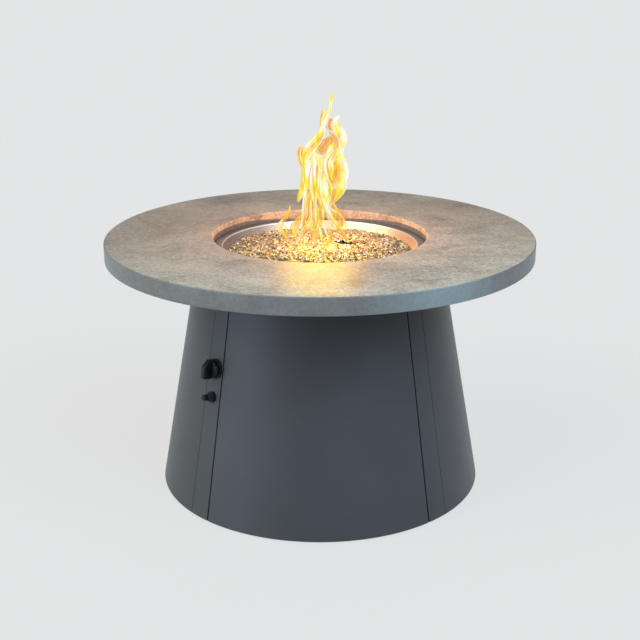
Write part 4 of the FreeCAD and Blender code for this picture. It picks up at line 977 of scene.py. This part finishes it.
def besideLine(line, distance):
    # the line's points, moved square to its run
    run = np.gradient(line[:, :2], axis=0)
    run = run / np.linalg.norm(run, axis=1)[:, None]
    return line[:, :1] - run[:, 1:] * distance, line[:, 1:2] + run[:, :1] * distance


def strandShell(depth, tint, opacity, line):
    # an oval about the strand's line: across it by width cos a, and in depth by flat * width sin a, with
    # both ends drawn in by (1 - |2 u - 1|^10)^0.5
    u = np.linspace(0, 1, flame["steps"])
    width = np.maximum(line[:, 2], flame["thinnest"])
    width = (width * np.sqrt(np.clip(1 - np.abs(2 * u - 1) ** 10, 0.0004, 1)))[:, None]
    angle = np.linspace(0, 2 * np.pi, flame["sides"], endpoint=False)
    x, z = besideLine(line, width * np.cos(angle))
    y = depth / 1000 + flame["flat"] * width * np.sin(angle)
    points = np.stack([x, y, z], axis=-1).reshape(-1, 3)
    faces = gridFaces(flame["steps"], flame["sides"], wrapColumns=True)
    return points, faces, np.full(len(points), tint), np.full(len(points), opacity)


def threadShells(random, depth, opacity, line):
    # thin bright threads that wander across a strand: at u their place across it is
    # width (share + wander sin(2 pi (turns u + phase)))
    shells = []
    u = np.linspace(0, 1, flame["steps"])
    for share in np.linspace(-flame["threadReach"], flame["threadReach"], flame["threads"]):
        turns, phase = random.uniform(0.6, 1.5), random.uniform(0, 1)
        place = line[:, 2] * (share + flame["threadWander"] * np.sin(2 * np.pi * (turns * u + phase)))
        width = flame["threadWidth"] * random.uniform(0.6, 1.5) * (0.35 + np.sin(np.pi * u))
        thread = np.hstack([*besideLine(line, place[:, None]), width[:, None]])
        look = random.choice(flame["threadTints"]), flame["threadOpacity"] * opacity
        shells.append(strandShell(depth - flame["threadAhead"], *look, thread))
    return shells


def glowing(finish, colour, strength, alpha):
    # the same glow from all sides, with no colour or gloss of its own
    return finish.surface({
        "Base Color": (0.0, 0.0, 0.0), "Specular IOR Level": 0.0, "Roughness": 1.0, "Emission Color": colour,
        "Emission Strength": strength, "Alpha": alpha})


def flameFinish():
    # whiter in the middle of each strand, thinner at its edges and low down, and brighter in gloss as fire is
    finish = Finish("flameGlow")
    facing = finish.facing()
    streak = finish.band(finish.noise(75.0, 3.0, 0.6, finish.stretched((1.0, 1.0, 0.22))), 0.33, 0.67)
    lick = finish.band(finish.noise(26.0, 2.0, 0.5, finish.stretched((1.0, 1.0, 0.5))), 0.35, 0.65)
    risen = finish.band(finish.along("Z"), *flame["yellower"])
    heat = finish.attribute("tint") * 0.95 + (streak - 0.5) * 0.50 + (lick - 0.5) * 0.75
    heat = heat + risen * 0.20 - 0.11 - facing * 0.24
    colour = finish.ramp(heat.clamped(), flameTones)
    colour = finish.mix(finish.ray("Is Glossy Ray"), colour, flame["mirrored"])
    alpha = finish.attribute("opacity") * (1 - facing ** 1.3).clamped() * (0.65 + streak * 0.45)
    return glowing(finish, colour, 1.0, (alpha * (0.75 + risen * 0.25)).clamped())


def airFinish():
    # seen only in what mirrors it: yellow in the middle and salmon at the sides
    finish = Finish("flameAir")
    facing = finish.facing()
    alpha = finish.ray("Is Glossy Ray") * (1 - facing ** 3.0) * flame["airOpacity"]
    return glowing(finish, finish.ramp(facing, airTones), flame["airGlow"], alpha)


def addFlameMesh(name, shells, material):
    points, faces, tints, opacities = zip(*shells)
    item = meshObject(name, *joinShells(zip(points, faces)), material)
    paintPoints(item, "tint", np.concatenate(tints))
    paintPoints(item, "opacity", np.concatenate(opacities))
    item.visible_diffuse = False
    item.visible_shadow = False
    material.cycles.emission_sampling = "NONE"


def addFlame():
    random = np.random.default_rng(flame["seed"])
    shells = []
    for depth, tint, opacity, points in strands:
        line = smoothLine(points, flame["steps"]) / 1000
        shells.append(strandShell(depth, tint, opacity, line))
        if line[:, 2].max() > flame["threadsFrom"]:
            shells += threadShells(random, depth, opacity, line)
    addFlameMesh("flame", shells, flameFinish())
    air = smoothLine(airLine, flame["steps"]) / 1000
    addFlameMesh("flameAir", [strandShell(0.0, 0.5, 1.0, air)], airFinish())


addFlame()
print("flame made")


# floor, light and camera

studio = {"floorShade": (0.10, 0.10, 0.10), "floorGlow": (0.665, 0.665, 0.665),
          "floorBounce": (0.05, 0.05, 0.05), "floorReach": 40.0, "horizon": (0.02, 0.02, 0.02),
          "zenith": (0.41, 0.43, 0.45), "rise": (0.18, 0.66), "backdrop": (0.78, 0.79, 0.79)}
# azimuth from the front, elevation, sharpness and colour of each soft lamp in the studio
softLamps = [(-62.0, 6.0, 12.0, (2.5, 3.1, 4.0)), (-80.0, 36.0, 24.0, (2.0, 3.9, 2.4)),
             (-48.0, 40.0, 24.0, (4.8, 3.9, 3.6)), (50.0, 40.0, 24.0, (5.7, 7.9, 9.4)),
             (180.0, 25.0, 8.0, (0.52, 0.41, 0.39))]
# place, radius, power and colour of the light that the flame throws
fireLights = {"fireLight": ((0.010, -0.01, 0.720), 0.050, 7.5, (1.0, 0.54, 0.26)),
              "emberLight": ((0.0, 0.0, 0.655), 0.030, 0.12, (1.0, 0.52, 0.22))}


def addFloor():
    finish = Finish("floorPaint")
    emitted = finish.mix(finish.ray("Is Diffuse Ray"), studio["floorGlow"], studio["floorBounce"])
    paint = finish.surface({
        "Base Color": studio["floorShade"], "Roughness": 0.95, "Specular IOR Level": 0.0,
        "Emission Color": emitted, "Emission Strength": 1.0})
    corners = np.array([(-1, -1, 0), (1, -1, 0), (1, 1, 0), (-1, 1, 0)]) * studio["floorReach"]
    meshObject("floor", corners, [(0, 1, 2, 3)], paint, smooth=False)


def addWorld():
    # light = horizon, going over to the zenith as the direction rises, and from each lamp
    # colour * (direction . lamp) ^ sharpness
    world = bpy.data.worlds.new("studio")
    bpy.context.scene.world = world
    sky = Finish("studio", world)
    light = sky.mix(sky.band(sky.along("Z"), *studio["rise"]), studio["horizon"], studio["zenith"])
    for azimuth, elevation, sharpness, colour in softLamps:
        turn, up = math.radians(azimuth), math.radians(elevation)
        lamp = (math.sin(turn) * math.cos(up), -math.cos(turn) * math.cos(up), math.sin(up))
        falloff = sky.vector("DOT_PRODUCT", sky.place, lamp, take="Value").clamped() ** sharpness
        light = sky.vector("MULTIPLY_ADD", falloff, colour, light)
    light = sky.mix(sky.ray("Is Camera Ray"), light, studio["backdrop"])
    glow = sky.node("ShaderNodeBackground", None, {"Color": light, "Strength": 1.0})
    sky.node("ShaderNodeOutputWorld", None, {"Surface": glow})


def addFireLight(name, place, radius, power, colour):
    data = bpy.data.lights.new(name, "POINT")
    data.shadow_soft_size = radius
    data.energy = power
    data.color = colour
    item = newObject(name, data)
    item.location = place
    item.visible_glossy = False


view = {"distance": 2.7859, "height": 1.350, "azimuth": 1.1, "pitch": 18.541, "roll": -0.130,
        "focal": 1145.1, "frameWidth": 640, "sensor": 36.0, "reach": 200.0}


def addCamera():
    data = bpy.data.cameras.new("camera")
    data.sensor_width = view["sensor"]
    data.lens = view["focal"] / view["frameWidth"] * view["sensor"]
    data.clip_end = view["reach"]
    item = newObject("camera", data)
    turn, pitch = math.radians(view["azimuth"]), math.radians(view["pitch"])
    sin, cos = math.sin(turn), math.cos(turn)
    item.location = (view["distance"] * sin, -view["distance"] * cos, view["height"])
    ahead = Vector((-sin * math.cos(pitch), cos * math.cos(pitch), -math.sin(pitch)))
    aim = ahead.to_track_quat("-Z", "Y").to_matrix() @ Matrix.Rotation(math.radians(view["roll"]), 3, "Z")
    item.rotation_euler = aim.to_euler()
    bpy.context.scene.camera = item


addFloor()
addWorld()
for name, settings in fireLights.items():
    addFireLight(name, *settings)
addCamera()
scene = bpy.context.scene
scene.view_settings.view_transform = "Standard"
scene.cycles.transparent_max_bounces = 64
print("lights and camera set")
